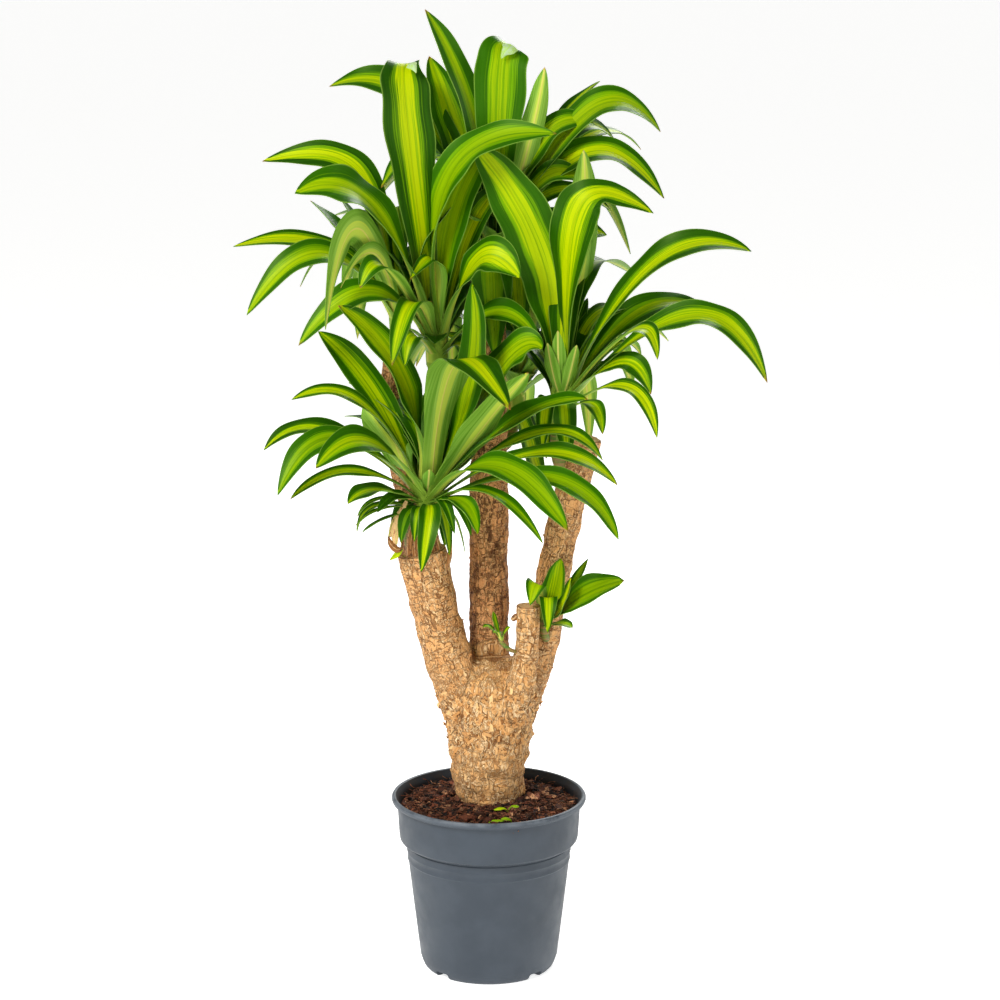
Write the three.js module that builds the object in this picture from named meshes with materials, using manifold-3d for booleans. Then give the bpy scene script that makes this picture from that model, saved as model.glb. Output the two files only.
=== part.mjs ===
// Potted corn plant: a branched trunk with leafy shoots, standing in soil in a plain nursery pot.
// Millimetres, +Z up. The origin is the middle of the pot's underside, and -Y is the front.
import * as THREE from "three";
import { mergeVertices } from "three/addons/utils/BufferGeometryUtils.js";
import Module from "manifold-3d";

const wasm = await Module();
wasm.setup();
const { Manifold, Mesh } = wasm;

const GAP = 0.3; // running clearance between pieces that touch on the real plant
const SLIVER = 0.02; // slivers smaller than this are closed up

// ---------------------------------------------------------------- pot sizes
const POT_HEIGHT = 220;
const POT_RIM_RADIUS = 120;
const POT_SIDES = 40;
const POT_OUTSIDE = [ // radius, height, from the foot up to the rim
  [75, 0], [81, 4], [85.3, 14], [101.3, 150], [102.8, 160], [109.6, 164.5], [111, 170], [113, 211],
  [118.8, 213], [POT_RIM_RADIUS, 216.5], [118, POT_HEIGHT],
];
const POT_INSIDE = [ // radius, height, from the rim down to the floor
  [114.4, 219.4], [110.6, 211], [108.2, 170], [100, 160], [83, 18], [78, 10.5],
];
const FOOT_RING_INNER = 68;
const FLOOR_UNDER = 6; // height of the raised floor's underside
const PAD_RADIUS = 30; // flat middle pad that rests on the ground
const NOTCH = { width: 21, height: 8, radius: 80, angles: [-135, -45, 45, 135] };
const DRAIN = { radius: 5, circle: 49, count: 8 };

// --------------------------------------------------------------- soil sizes
const SOIL_RINGS = [ // radius, height of the uneven top
  [46, 218], [60, 216.5], [76, 212.5], [92, 208], [104, 205.5],
];
const SOIL_SIDES = 26;
const SOIL_ROUGH = 2.2;

// ------------------------------------------------ trunk: x, y, z, radius rows
const TRUNK = [
  [[0, 0, 120, 36], [0, 0, 200, 41.5], [1, 0, 226, 42.5], [-1, 0, 252, 44.5], [0, 1, 278, 48.5],
    [2, 1, 306, 51], [3, 2, 334, 52.5], [4, 5, 358, 48], [4, 10, 376, 38], [3, 14, 390, 26]],
  [[-12, 0, 300, 37], [-31, -2, 350, 32], [-50, -6, 400, 29.5], [-61, -9, 440, 28], [-70, -12, 480, 28.5],
    [-81, -14, 532, 30]],
  [[0, 10, 310, 34], [0, 20, 360, 27], [0, 28, 410, 24.5], [0, 32, 500, 24], [0, 34, 600, 24],
    [2, 36, 650, 20.5], [4, 48, 760, 17], [6, 58, 848, 14]],
  [[14, 0, 300, 34], [38, 4, 348, 27], [58, 8, 392, 23], [70, 8, 440, 21], [78, 8, 490, 20.5],
    [87, 8, 540, 20], [100, 6, 600, 20], [115, 4, 668, 22]],
  [[18, -14, 306, 26], [34, -30, 350, 20], [43, -38, 390, 16], [47, -42, 430, 14], [48, -43, 471, 14.5]],
  [[-52, 4, 420, 16], [-78, 30, 520, 15.5], [-106, 38, 620, 14], [-119, 32, 700, 11.5],
    [-116, 24, 760, 11.5], [-110, 21, 792, 11]],
];
const TRUNK_SIDES = [14, 12, 12, 11, 9, 9];
const BARK_ROUGH = 0.028; // share of the radius

// ----------------------------------------------------------- leafy shoots
// stem rows: x, y, z, radius, from the socket in the trunk up to the crown.
// leaf rows: tip x, y, z, middle x, y, z, width, roll in degrees, fold, and the place of "middle".
// rear rows: direction in degrees, length, rise in degrees, bend in degrees, width.
const SHOOTS = [
  { "name": "shoot_low_left", "crown": [-74, -28, 600],
    "stem": [[-85, -19, 502, 11], [-89, -23, 545, 12.5], [-82, -27, 580, 12],
      [-74, -28, 606, 10.5], [-73, -29, 628, 8]],
    "leaves": [
      [-175, -70, 838, -98, -50, 752, 54, 55, 0],
      [-202, -20, 800, -136, -16, 728, 40, 50, 0],
      [-230, -90, 730, -148, -66, 724, 26, 30, 0],
      [-266, -60, 664, -190, -40, 687, 30, 30, 0],
      [-245, -130, 624, -178, -90, 688, 38, 30, 0],
      [-198, -160, 662, -136, -104, 686, 40, 40, 0],
      [-232, -110, 615, -161, -76, 644, 18, 30, 0],
      [-165, -100, 608, -130, -70, 622, 34, 10, 0],
      [-158, -40, 561, -136, -36, 593, 12, 20, 0],
      [-79, -104, 526, -69, -82, 592, 26, 0, 0],
      [26, -168, 732, -38, -88, 776, 66, 0, 0.8],
      [-20, -54, 862, -24, -44, 746, 44, -70, 0],
      [64, -62, 786, 10, -40, 762, 54, -40, 0],
      [46, -124, 768, -6, -76, 705, 54, 10, 0],
      [116, -84, 730, 30, -58, 704, 46, -20, 0],
      [135, -74, 655, 58, -62, 688, 28, -20, 0],
      [151, -118, 634, 58, -88, 670, 34, -20, 0],
      [151, -160, 578, 70, -116, 646, 36, -20, 0],
      [92, -190, 595, 8, -120, 662, 46, -20, 0],
      [64, -130, 567, 0, -96, 624, 20, -10, 0],
      [-12, -110, 573, -32, -80, 609, 24, -10, 0],
      [-28, -20, 531, -44, -26, 585, 16, 0, 0],
      [-150, 10, 706, -120, -6, 672, 42, -130, 0],
      [-46, -60, 536, -54, -46, 590, 20, 0, 0]],
    "rear": [
      [104, 240, 62, 80, 34], [85, 220, 35, 95, 28], [72, 220, 48, 90, 30],
      [90, 210, 5, 75, 24], [60, 230, 22, 90, 28]] },
  { "name": "shoot_right", "crown": [88, -8, 712],
    "stem": [[98, 4, 606, 8.5], [86, -3, 640, 9], [84, -7, 670, 9.5], [88, -8, 715, 10], [89, -8, 740, 8]],
    "leaves": [
      [-20, 20, 1020, 60, 6, 892, 66, 75, 0],
      [196, 2, 938, 152, -10, 962, 66, -50, 0.8, 0.82],
      [79, 0, 866, 78, 34, 888, 64, 0, 0.9, 0.78],
      [309, -40, 898, 192, -30, 886, 46, -35, 0],
      [265, 40, 817, 176, 20, 819, 40, -30, 0],
      [329, -60, 745, 236, -54, 828, 42, -35, 0],
      [197, -100, 779, 168, -70, 811, 26, -20, 0],
      [187, 80, 755, 152, 50, 774, 22, 0, 0],
      [197, -110, 688, 162, -86, 747, 22, -25, 0],
      [192, -60, 731, 156, -50, 771, 32, -35, 0],
      [135, -70, 685, 122, -50, 720, 22, -10, 0],
      [113, 34, 1010, 110, 34, 892, 40, 130, 0],
      [94, -54, 648, 90, -38, 714, 30, 0, 0],
      [64, -50, 660, 70, -38, 722, 26, 0, 0]],
    "rear": [
      [38, 250, 60, 85, 38], [62, 320, 72, 80, 42], [78, 270, 80, 70, 40], [54, 240, 40, 95, 32],
      [76, 240, 10, 80, 26]] },
  { "name": "shoot_mid_left", "crown": [-62, 16, 768],
    "stem": [[2, 36, 664, 8.5], [-28, 32, 692, 8.5], [-54, 22, 732, 9], [-62, 16, 772, 9.5],
      [-62, 16, 796, 7.5]],
    "leaves": [
      [-92, 92, 1090, -97, 62, 1109, 66, 0, 0.75, 0.85],
      [80, -10, 1033, -50, 6, 985, 56, -45, 0],
      [38, -44, 867, -16, -24, 888, 54, -50, 0.2],
      [10, 40, 1030, -48, 20, 930, 50, -50, 0],
      [-224, -70, 969, -128, -36, 952, 62, 45, 0],
      [-223, -60, 789, -135, -40, 854, 40, 35, 0],
      [-127, 4, 968, -104, 40, 1000, 50, 55, 0.9, 0.75],
      [60, -20, 788, 6, -12, 826, 38, -30, 0],
      [-92, -34, 864, -74, -6, 884, 36, 20, 0.9, 0.75],
      [24, 46, 962, -22, 34, 918, 32, -50, 0],
      [-98, -56, 764, -88, -36, 800, 26, 20, 0],
      [8, -2, 684, -24, 6, 778, 44, -20, 0],
      [-148, -96, 862, -116, -66, 884, 34, 20, 0.2]],
    "rear": [
      [80, 320, 60, 85, 42], [106, 300, 50, 95, 38], [84, 250, 20, 90, 30], [-110, 210, 46, 90, 32]] },
  { "name": "shoot_far_left", "crown": [-106, 20, 806],
    "stem": [[-113, 22, 772, 7.5], [-108, 21, 800, 8.5], [-106, 20, 812, 9], [-106, 20, 834, 7.5]],
    "leaves": [
      [-270, 40, 996, -174, 30, 1000, 44, 50, 0.5, 0.62],
      [-302, -10, 900, -186, 10, 898, 30, 35, 0],
      [-285, -40, 822, -196, -22, 897, 38, 40, 0],
      [-189, -100, 814, -150, -52, 924, 44, -80, 0.1, 0.4],
      [-172, -80, 860, -136, -44, 897, 26, -70, 0],
      [-230, 80, 840, -176, 60, 888, 24, 20, 0]],
    "rear": [
      [98, 300, 60, 90, 38], [116, 270, 48, 95, 34], [112, 250, 30, 95, 30], [124, 240, 70, 70, 34]] },
  { "name": "shoot_top", "crown": [6, 60, 872],
    "stem": [[5, 57, 818, 8.5], [6, 59, 850, 9], [6, 60, 876, 10.4], [6, 60, 901, 8]],
    "leaves": [
      [-75, 60, 1174, -14, 62, 1045, 44, 40, 0],
      [-72, 114, 1116, -34, 86, 1014, 48, 40, 0],
      [34, 126, 1108, 27, 96, 1128, 62, -30, 0.8, 0.85],
      [67, 60, 1106, 46, 66, 1010, 30, 80, 0],
      [-193, 110, 1080, -82, 90, 1062, 48, 40, 0],
      [-15, 130, 1066, -8, 94, 980, 36, 20, 0],
      [208, 90, 1027, 116, 76, 1055, 48, -35, 0],
      [153, 120, 1016, 86, 96, 1022, 42, -30, 0],
      [212, 64, 949, 113, 59, 1008, 48, -34, 0],
      [137, 180, 1082, 70, 120, 1016, 24, 0, 0],
      [190, 200, 996, 110, 140, 1012, 24, -20, 0],
      [150, 100, 930, 75, 80, 958, 32, -30, 0],
      [146, 140, 896, 74, 100, 912, 52, -50, 0],
      [8, 14, 762, 4, 28, 872, 50, 0, 0],
      [38, 18, 780, 30, 32, 880, 42, -20, 0],
      [128, 86, 1036, 60, 70, 1020, 38, -40, 0],
      [120, 44, 968, 62, 48, 976, 36, -40, 0]],
    "rear": [
      [60, 320, 65, 85, 40], [100, 330, 70, 80, 42], [140, 310, 55, 90, 38], [30, 300, 45, 95, 36],
      [80, 290, 40, 95, 34], [120, 280, 30, 95, 32], [150, 280, 62, 90, 34]] },
  { "name": "shoot_back", "crown": [32, 90, 700],
    "stem": [[6, 36, 640, 8.5], [22, 62, 652, 8.5], [31, 84, 676, 8.5], [32, 90, 705, 9.5],
      [32, 90, 728, 7.5]],
    "leaves": [
      [74, 44, 566, 48, 64, 664, 32, 10, 0],
      [58, 46, 872, 48, 66, 800, 42, 0, 0],
      [110, 40, 770, 66, 66, 762, 36, -20, 0],
      [70, 10, 640, 62, 50, 690, 30, 0, 0]],
    "rear": [
      [90, 320, 65, 85, 42], [72, 300, 48, 95, 38], [130, 300, 50, 95, 38], [108, 290, 28, 95, 34],
      [152, 260, 35, 95, 32], [84, 240, 0, 75, 24], [120, 240, -2, 75, 24]] },
  { "name": "shoot_small_right", "crown": [67, -25, 440],
    "stem": [[74, 2, 418, 4.5], [69, -18, 424, 5], [67, -25, 436, 5.5], [67, -26, 454, 4.5]],
    "leaves": [
      [162, -70, 508, 108, -56, 488, 44, -45, 0],
      [87, -30, 526, 76, -32, 480, 36, -75, 0],
      [120, -12, 521, 94, -24, 482, 16, -30, 0],
      [50, -62, 475, 58, -44, 499, 26, 20, 0.6, 0.6],
      [101, -62, 448, 84, -48, 452, 20, -10, 0],
      [98, -62, 510, 86, -52, 474, 26, -60, 0],
      [71, -76, 444, 72, -54, 482, 22, 0, 0.4, 0.6]],
    "rear": [] },
  { "name": "shoot_tiny", "crown": [15, -53, 431],
    "stem": [[39, -42, 412, 2.6], [26, -50, 417, 2.6], [15, -53, 429, 2.7], [15, -53, 440, 2.4]],
    "leaves": [
      [-7, -54, 446, 2, -52, 447, 10, 10, 0],
      [6, -48, 464, 9, -50, 452, 9, 10, 0],
      [6, -64, 442, 11, -58, 443, 9, 10, 0],
      [26, -52, 446, 21, -52, 443, 8, -10, 0]],
    "rear": [] },
];
const LEAF_STEPS = 6;
const REAR_STEPS = 4;
const LEAF_THICK = 1.8;
const SMALL = ["shoot_small_right", "shoot_tiny"];

// ------------------------------------------------------------------ helpers
const V = (a) => new THREE.Vector3(a[0], a[1], a[2]);
const clamp = (v, a, b) => Math.min(b, Math.max(a, v));
const rad = (d) => (d * Math.PI) / 180;
const smooth = (v) => v * v * (3 - 2 * v);
const ripple = (a, b) => Math.sin(a * 2.3 + b * 4.1) * 0.5 + Math.sin(a * 5.7 - b * 2.6) * 0.3
  + Math.sin(a + b * 7.9) * 0.2;

function solidFrom(points, triangles) {
  const vertProperties = new Float32Array(points.length * 3);
  points.forEach((p, i) => vertProperties.set([p.x, p.y, p.z], i * 3));
  const mesh = new Mesh({ numProp: 3, vertProperties, triVerts: Uint32Array.from(triangles.flat()) });
  mesh.merge();
  return new Manifold(mesh);
}

// A tube swept up rows of x, y, z, radius, with flat level-cut ends.
function tube(rows, sides, rough = 0, seed = 0) {
  const points = [];
  const triangles = [];
  rows.forEach((row, i) => {
    const ahead = V(rows[Math.min(i + 1, rows.length - 1)]);
    const dir = ahead.sub(V(rows[Math.max(i - 1, 0)])).normalize();
    const side = new THREE.Vector3(1, 0, 0).addScaledVector(dir, -dir.x).normalize();
    const front = new THREE.Vector3().crossVectors(dir, side);
    for (let k = 0; k < sides; k++) {
      const a = (k / sides) * 2 * Math.PI;
      const r = row[3] * (1 + rough * 2 * ripple(a + seed, i * 1.7 + seed));
      points.push(V(row).addScaledVector(side, Math.cos(a) * r).addScaledVector(front, Math.sin(a) * r));
    }
  });
  for (let i = 0; i + 1 < rows.length; i++) {
    for (let k = 0; k < sides; k++) {
      const a = i * sides + k;
      const b = i * sides + ((k + 1) % sides);
      triangles.push([a, b, b + sides], [a, b + sides, a + sides]);
    }
  }
  const low = points.push(V(rows[0])) - 1;
  const high = points.push(V(rows[rows.length - 1])) - 1;
  const top = (rows.length - 1) * sides;
  for (let k = 0; k < sides; k++) {
    triangles.push([low, (k + 1) % sides, k], [high, top + k, top + ((k + 1) % sides)]);
  }
  return solidFrom(points, triangles);
}

// ------------------------------------------------------------------- leaves
// Where a leaf leaves its crown: steep leaves sit higher than hanging ones.
function leafFoot(shoot, row, index) {
  const c = shoot.crown;
  const s = SMALL.includes(shoot.name) ? 0.3 : 1;
  const dx = row[3] - c[0];
  const dy = row[4] - c[1];
  const out = Math.max(Math.hypot(dx, dy), 1e-6);
  const rise = clamp((Math.atan2(row[5] - c[2], out) * 180) / Math.PI, 0, 90);
  const lift = s * (-12 + (30 * rise) / 90 + 1.4 * Math.sin(index * 2.3));
  return new THREE.Vector3(c[0] + (s * 4 * dx) / out, c[1] + (s * 4 * dy) / out, c[2] + lift);
}

// A smooth arch from the foot through the middle point to the tip; fold sharpens its bend.
function leafArch(shoot, row, index) {
  const foot = leafFoot(shoot, row, index);
  const tip = V(row);
  const middle = V([row[3], row[4], row[5]]);
  const k = 2 / 3 + row[8] * 0.3;
  const u = row[9] ?? 0.5;
  const a = (1 - u) ** 3 + 3 * (1 - u) ** 2 * u * (1 - k);
  const b = u ** 3 + 3 * (1 - u) * u ** 2 * (1 - k);
  const peak = middle.addScaledVector(foot, -a).addScaledVector(tip, -b);
  peak.multiplyScalar(1 / (3 * k * (1 - u) * u));
  return new THREE.CubicBezierCurve3(foot, foot.clone().lerp(peak, k), tip.clone().lerp(peak, k), tip);
}

function leafWidth(u) {
  return u < 0.5 ? 0.38 + 0.62 * smooth(u / 0.5) : (1 - ((u - 0.5) / 0.5) ** 2.6) ** 0.86;
}

function leaf(shoot, row, index) {
  const rear = index >= shoot.leaves.length;
  const arch = leafArch(shoot, row, index);
  const foot = arch.v0;
  const steps = SMALL.includes(shoot.name) ? 4 : rear ? REAR_STEPS : LEAF_STEPS;
  const thick = SMALL.includes(shoot.name) ? 1.3 : LEAF_THICK;
  const heading = new THREE.Vector3((row[3] - foot.x) * 1.5 + (row[0] - foot.x) * 0.5,
    (row[4] - foot.y) * 1.5 + (row[1] - foot.y) * 0.5, 0).normalize();
  const level = new THREE.Vector3(heading.y, -heading.x, 0);
  const points = [];
  const triangles = [];
  for (let i = 0; i < steps; i++) {
    const u = i / steps;
    const at = arch.getPoint(u);
    const dir = arch.getTangent(u);
    const side = level.clone().addScaledVector(dir, -level.dot(dir)).normalize();
    side.applyAxisAngle(dir, -rad(row[7] * clamp(u / 0.4, 0, 1)));
    const up = new THREE.Vector3().crossVectors(side, dir);
    const half = (row[6] / 2) * leafWidth(u);
    const sink = half * (0.34 - 0.16 * u) * (1 - 0.9 * row[8]);
    const wave = half * 0.09 * smooth(clamp(u * 3, 0, 1)) * (1 - row[8]);
    const edge = (s) => at.clone().addScaledVector(side, half * s)
      .addScaledVector(up, wave * Math.sin(u * 15 + index * 1.9 + s * 1.3));
    const rib = (s) => at.clone().addScaledVector(up, -sink + (s * thick) / 2);
    points.push(edge(1), rib(1), edge(-1), rib(-1));
  }
  points.push(V(row));
  for (let i = 0; i + 1 < steps; i++) {
    const o = i * 4;
    const n = o + 4;
    triangles.push([o, n, n + 1], [o, n + 1, o + 1], [o + 1, n + 1, n + 2], [o + 1, n + 2, o + 2]);
    triangles.push([o + 2, n + 2, o + 3], [o + 3, n + 2, n + 3], [o + 3, n + 3, o], [o, n + 3, n]);
  }
  const last = (steps - 1) * 4;
  for (let k = 0; k < 4; k++) triangles.push([last + k, steps * 4, last + ((k + 1) % 4)]);
  triangles.push([0, 1, 2], [0, 2, 3]);
  return solidFrom(points, triangles);
}

// A rear row turned into a leaf row: it rises from the crown, then bends over.
function rearLeaf(spec, [turn, length, rise, bend, width]) {
  const [cx, cy, cz] = spec.crown;
  const reach = (e, part) => [Math.cos(rad(turn)) * Math.cos(rad(e)) * length * part,
    Math.sin(rad(turn)) * Math.cos(rad(e)) * length * part, Math.sin(rad(e)) * length * part];
  const a = reach(rise, 0.5);
  const b = reach(rise - bend, 0.47);
  const middle = [cx + a[0], cy + a[1], cz + a[2]];
  return [middle[0] + b[0], middle[1] + b[1], middle[2] + b[2], ...middle, width, 0, 0];
}

function leafRows(spec) {
  return [...spec.leaves, ...spec.rear.map((row) => rearLeaf(spec, row))];
}

function shoot(spec) {
  const sides = SMALL.includes(spec.name) ? 6 : 8;
  const blades = leafRows(spec).map((row, i) => leaf(spec, row, i));
  const fused = Manifold.union([tube(spec.stem, sides), ...blades]);
  return fused.decompose().sort((a, b) => b.volume() - a.volume())[0];
}

// The socket that a shoot's foot stands in: its stem, a running gap wider and deeper.
function socket(spec) {
  const sides = SMALL.includes(spec.name) ? 6 : 8;
  const rows = spec.stem.map((r) => [r[0], r[1], r[2], r[3] + GAP * 1.15]);
  const [a, b] = [V(rows[0]), V(rows[1])];
  const below = a.clone().addScaledVector(b.sub(a).normalize(), -GAP);
  rows[0] = [below.x, below.y, below.z, rows[0][3]];
  return tube(rows, sides);
}

// -------------------------------------------------------------------- trunk
function trunk() {
  const limbs = TRUNK.map((rows, i) => tube(rows, TRUNK_SIDES[i], BARK_ROUGH, i * 2.1));
  return Manifold.union(limbs).subtract(Manifold.union(SHOOTS.map(socket)));
}

// --------------------------------------------------------------------- soil
function soilTop(r, a) {
  const i = Math.max(1, SOIL_RINGS.findIndex((q) => q[0] >= r));
  const [r0, z0] = SOIL_RINGS[i - 1];
  const [r1, z1] = SOIL_RINGS[i];
  return z0 + ((z1 - z0) * (r - r0)) / (r1 - r0) + SOIL_ROUGH * ripple(a * 2, r * 0.11);
}

function potInsideAt(z) {
  for (let i = 0; i + 1 < POT_INSIDE.length; i++) {
    const [ra, za] = POT_INSIDE[i];
    const [rb, zb] = POT_INSIDE[i + 1];
    if (z <= za && z >= zb) return rb + ((ra - rb) * (z - zb)) / (za - zb);
  }
  return POT_INSIDE[0][0];
}

function soil() {
  const wall = (z) => potInsideAt(z) - GAP * 1.6;
  const rings = SOIL_RINGS.slice(1).map(([r]) => (a) => [r, soilTop(r, a)]);
  rings.push((a) => [wall(205), 203.5 + ripple(a * 2, 3)]);
  [170, 160, 18].forEach((z) => rings.push(() => [wall(z), z]));
  rings.push(() => [78, POT_INSIDE[5][1] + GAP + 0.6]);
  const points = [];
  const triangles = [];
  rings.forEach((at) => {
    for (let k = 0; k < SOIL_SIDES; k++) {
      const a = (k / SOIL_SIDES) * 2 * Math.PI;
      const [r, z] = at(a);
      points.push(new THREE.Vector3(Math.cos(a) * r, Math.sin(a) * r, z));
    }
  });
  for (let i = 0; i + 1 < rings.length; i++) {
    for (let k = 0; k < SOIL_SIDES; k++) {
      const a = i * SOIL_SIDES + k;
      const b = i * SOIL_SIDES + ((k + 1) % SOIL_SIDES);
      triangles.push([a, b + SOIL_SIDES, b], [a, a + SOIL_SIDES, b + SOIL_SIDES]);
    }
  }
  const top = points.push(new THREE.Vector3(0, 0, SOIL_RINGS[0][1])) - 1;
  const low = points.push(new THREE.Vector3(0, 0, POT_INSIDE[5][1] + GAP + 0.6)) - 1;
  const end = (rings.length - 1) * SOIL_SIDES;
  for (let k = 0; k < SOIL_SIDES; k++) {
    const m = (k + 1) % SOIL_SIDES;
    triangles.push([top, k, m], [low, end + m, end + k]);
  }
  const rows = TRUNK[0].map((r) => [r[0], r[1], r[2], r[3] + GAP * 1.2]);
  rows[0][2] -= GAP;
  const hole = tube(rows, TRUNK_SIDES[0], BARK_ROUGH, 0);
  return solidFrom(points, triangles).subtract(hole);
}

// ---------------------------------------------------------------------- pot
function spin(profile, sides) {
  const points = [];
  const triangles = [];
  profile.forEach(([r, z]) => {
    for (let k = 0; k < sides; k++) {
      const a = (k / sides) * 2 * Math.PI;
      points.push(new THREE.Vector3(Math.cos(a) * r, Math.sin(a) * r, z));
    }
  });
  for (let i = 0; i + 1 < profile.length; i++) {
    for (let k = 0; k < sides; k++) {
      const a = i * sides + k;
      const b = i * sides + ((k + 1) % sides);
      triangles.push([a, b, b + sides], [a, b + sides, a + sides]);
    }
  }
  const low = points.push(new THREE.Vector3(0, 0, profile[0][1])) - 1;
  const high = points.push(new THREE.Vector3(0, 0, profile[profile.length - 1][1])) - 1;
  const end = (profile.length - 1) * sides;
  for (let k = 0; k < sides; k++) {
    const m = (k + 1) % sides;
    triangles.push([low, m, k], [high, end + k, end + m]);
  }
  return solidFrom(points, triangles);
}

function pot() {
  const under = [[PAD_RADIUS, 0], [PAD_RADIUS + 2, FLOOR_UNDER], [FOOT_RING_INNER - 1, FLOOR_UNDER],
    [FOOT_RING_INNER, 0]];
  let body = spin([...under, ...POT_OUTSIDE, ...POT_INSIDE], POT_SIDES);
  for (const angle of NOTCH.angles) {
    const cut = Manifold.cube([30, NOTCH.width, NOTCH.height * 2], true).translate([NOTCH.radius, 0, 0]);
    body = body.subtract(cut.rotate([0, 0, angle]));
  }
  for (let i = 0; i < DRAIN.count; i++) {
    const a = ((i + 0.5) / DRAIN.count) * 2 * Math.PI;
    const bore = Manifold.cylinder(20, DRAIN.radius, DRAIN.radius, 10);
    body = body.subtract(bore.translate([Math.cos(a) * DRAIN.circle, Math.sin(a) * DRAIN.circle, 0]));
  }
  return body;
}

// ----------------------------------------------------------------- assembly
function meshOf(name, solid, material) {
  const { vertProperties, triVerts, numProp } = solid.simplify(SLIVER).getMesh();
  const position = new Float32Array((vertProperties.length / numProp) * 3);
  for (let i = 0; i * numProp < vertProperties.length; i++) {
    position.set(vertProperties.slice(i * numProp, i * numProp + 3), i * 3);
  }
  let geometry = new THREE.BufferGeometry();
  geometry.setAttribute("position", new THREE.BufferAttribute(position, 3));
  geometry.setIndex(new THREE.BufferAttribute(Uint32Array.from(triVerts), 1));
  geometry = mergeVertices(geometry, 1e-4);
  geometry.computeVertexNormals();
  const mesh = new THREE.Mesh(geometry, material);
  mesh.name = name;
  return mesh;
}

const slate = new THREE.MeshStandardMaterial({ color: 0x5f6770, roughness: 0.55 });
const peat = new THREE.MeshStandardMaterial({ color: 0x4a2f22, roughness: 1 });
const bark = new THREE.MeshStandardMaterial({ color: 0xb58a55, roughness: 0.9 });
const green = new THREE.MeshStandardMaterial({ color: 0x5c9a22, roughness: 0.45 });

const group = new THREE.Group();
group.name = "potted_corn_plant";
group.add(meshOf("pot", pot(), slate));
group.add(meshOf("soil", soil(), peat));
group.add(meshOf("trunk", trunk(), bark));
for (const spec of SHOOTS) group.add(meshOf(spec.name, shoot(spec), green));

export default group;
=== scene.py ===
"""Potted corn plant: a branched trunk with heads of striped leaves, in soil in a plain nursery pot.

Sizes in the lists are millimetres, as in the CAD source; meshes are in metres, +Z up, and -Y is the front.
"""

import math
import random

import bmesh
import bpy
import numpy as np
from bpy.props import FloatProperty, FloatVectorProperty, IntProperty, PointerProperty
from mathutils import Matrix, Vector, noise


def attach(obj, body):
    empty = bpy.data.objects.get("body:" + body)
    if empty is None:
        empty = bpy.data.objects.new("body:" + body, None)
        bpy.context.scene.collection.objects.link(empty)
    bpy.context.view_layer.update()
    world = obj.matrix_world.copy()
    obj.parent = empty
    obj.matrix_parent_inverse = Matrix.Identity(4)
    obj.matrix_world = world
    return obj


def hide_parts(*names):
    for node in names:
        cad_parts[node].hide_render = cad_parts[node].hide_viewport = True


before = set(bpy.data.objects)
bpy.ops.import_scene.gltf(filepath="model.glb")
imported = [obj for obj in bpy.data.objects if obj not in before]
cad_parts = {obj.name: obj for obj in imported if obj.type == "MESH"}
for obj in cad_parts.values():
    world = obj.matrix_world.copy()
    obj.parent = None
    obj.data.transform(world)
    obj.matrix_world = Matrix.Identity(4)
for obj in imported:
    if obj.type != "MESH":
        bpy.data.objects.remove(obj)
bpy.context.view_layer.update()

bl_info = {
    "name": "Potted corn plant",
    "version": (1, 0, 0),
    "blender": (4, 5, 0),
    "location": "View3D > Sidebar > Corn plant",
    "description": "Builds a potted corn plant piece by piece round its packed solids",
    "category": "Add Mesh",
}

MM = 0.001
BODY = "root"

# ------------------------------------------------------------------ pot sizes
POT_PROFILE = [  # radius, height: under the foot, up the outside, over the rim, down to the floor
    (0, 0), (30, 0), (32, 6), (67, 6), (68, 0), (75, 0), (78.6, 0.8), (81, 3.4), (82.6, 7), (84, 11),
    (85.3, 15), (93.2, 81), (99.6, 135.6), (99.95, 138), (100.9, 139.4), (100.7, 142.6), (100.4, 144),
    (101, 148.4), (101.7, 149.8), (101.6, 152.6), (101.4, 154), (101.5, 158), (100.8, 159), (100.9, 161.2),
    (104.4, 162), (108.2, 163.6), (109.9, 165.8), (110.6, 169), (111.6, 185), (113, 209.6), (113.8, 211.2),
    (116.6, 211.9), (118.9, 213), (120, 215.4), (119.9, 217.8), (118.6, 219.6), (116.7, 220),
    (115.2, 219.4), (114, 217.6), (112, 214), (110.6, 210), (108.2, 170), (100, 160), (83, 18),
    (81.6, 13.6), (78, 10.5), (0, 10.5),
]
POT_TURNS = 160
POT_NOTCH = {"depth": 30, "width": 21, "height": 8, "corner": 2.5, "radius": 80}
POT_NOTCH_TURNS = (-135, -45, 45, 135)
POT_DRAIN = {"radius": 5, "circle": 49, "count": 8, "depth": 40}

# ----------------------------------------------------------------- soil sizes
SOIL_RINGS = [(46, 218), (60, 216.5), (76, 212.5), (92, 208), (104, 205.5)]
SOIL_ROUGH = 2.2
SOIL_UNDER = [(0, 11.4), (77, 11.4), (82.4, 18), (99.4, 160), (107.4, 170), (109.6, 200)]  # against the pot
SOIL_FLAT = 206  # height of the flat blank that the uneven top is shaped from
SOIL_TURNS = 220
LITTER_EDGE = 108.5  # how far out chips and fibres lie
LITTER_SEED = 41
TRUNK_AT_SOIL = 42.5

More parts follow.
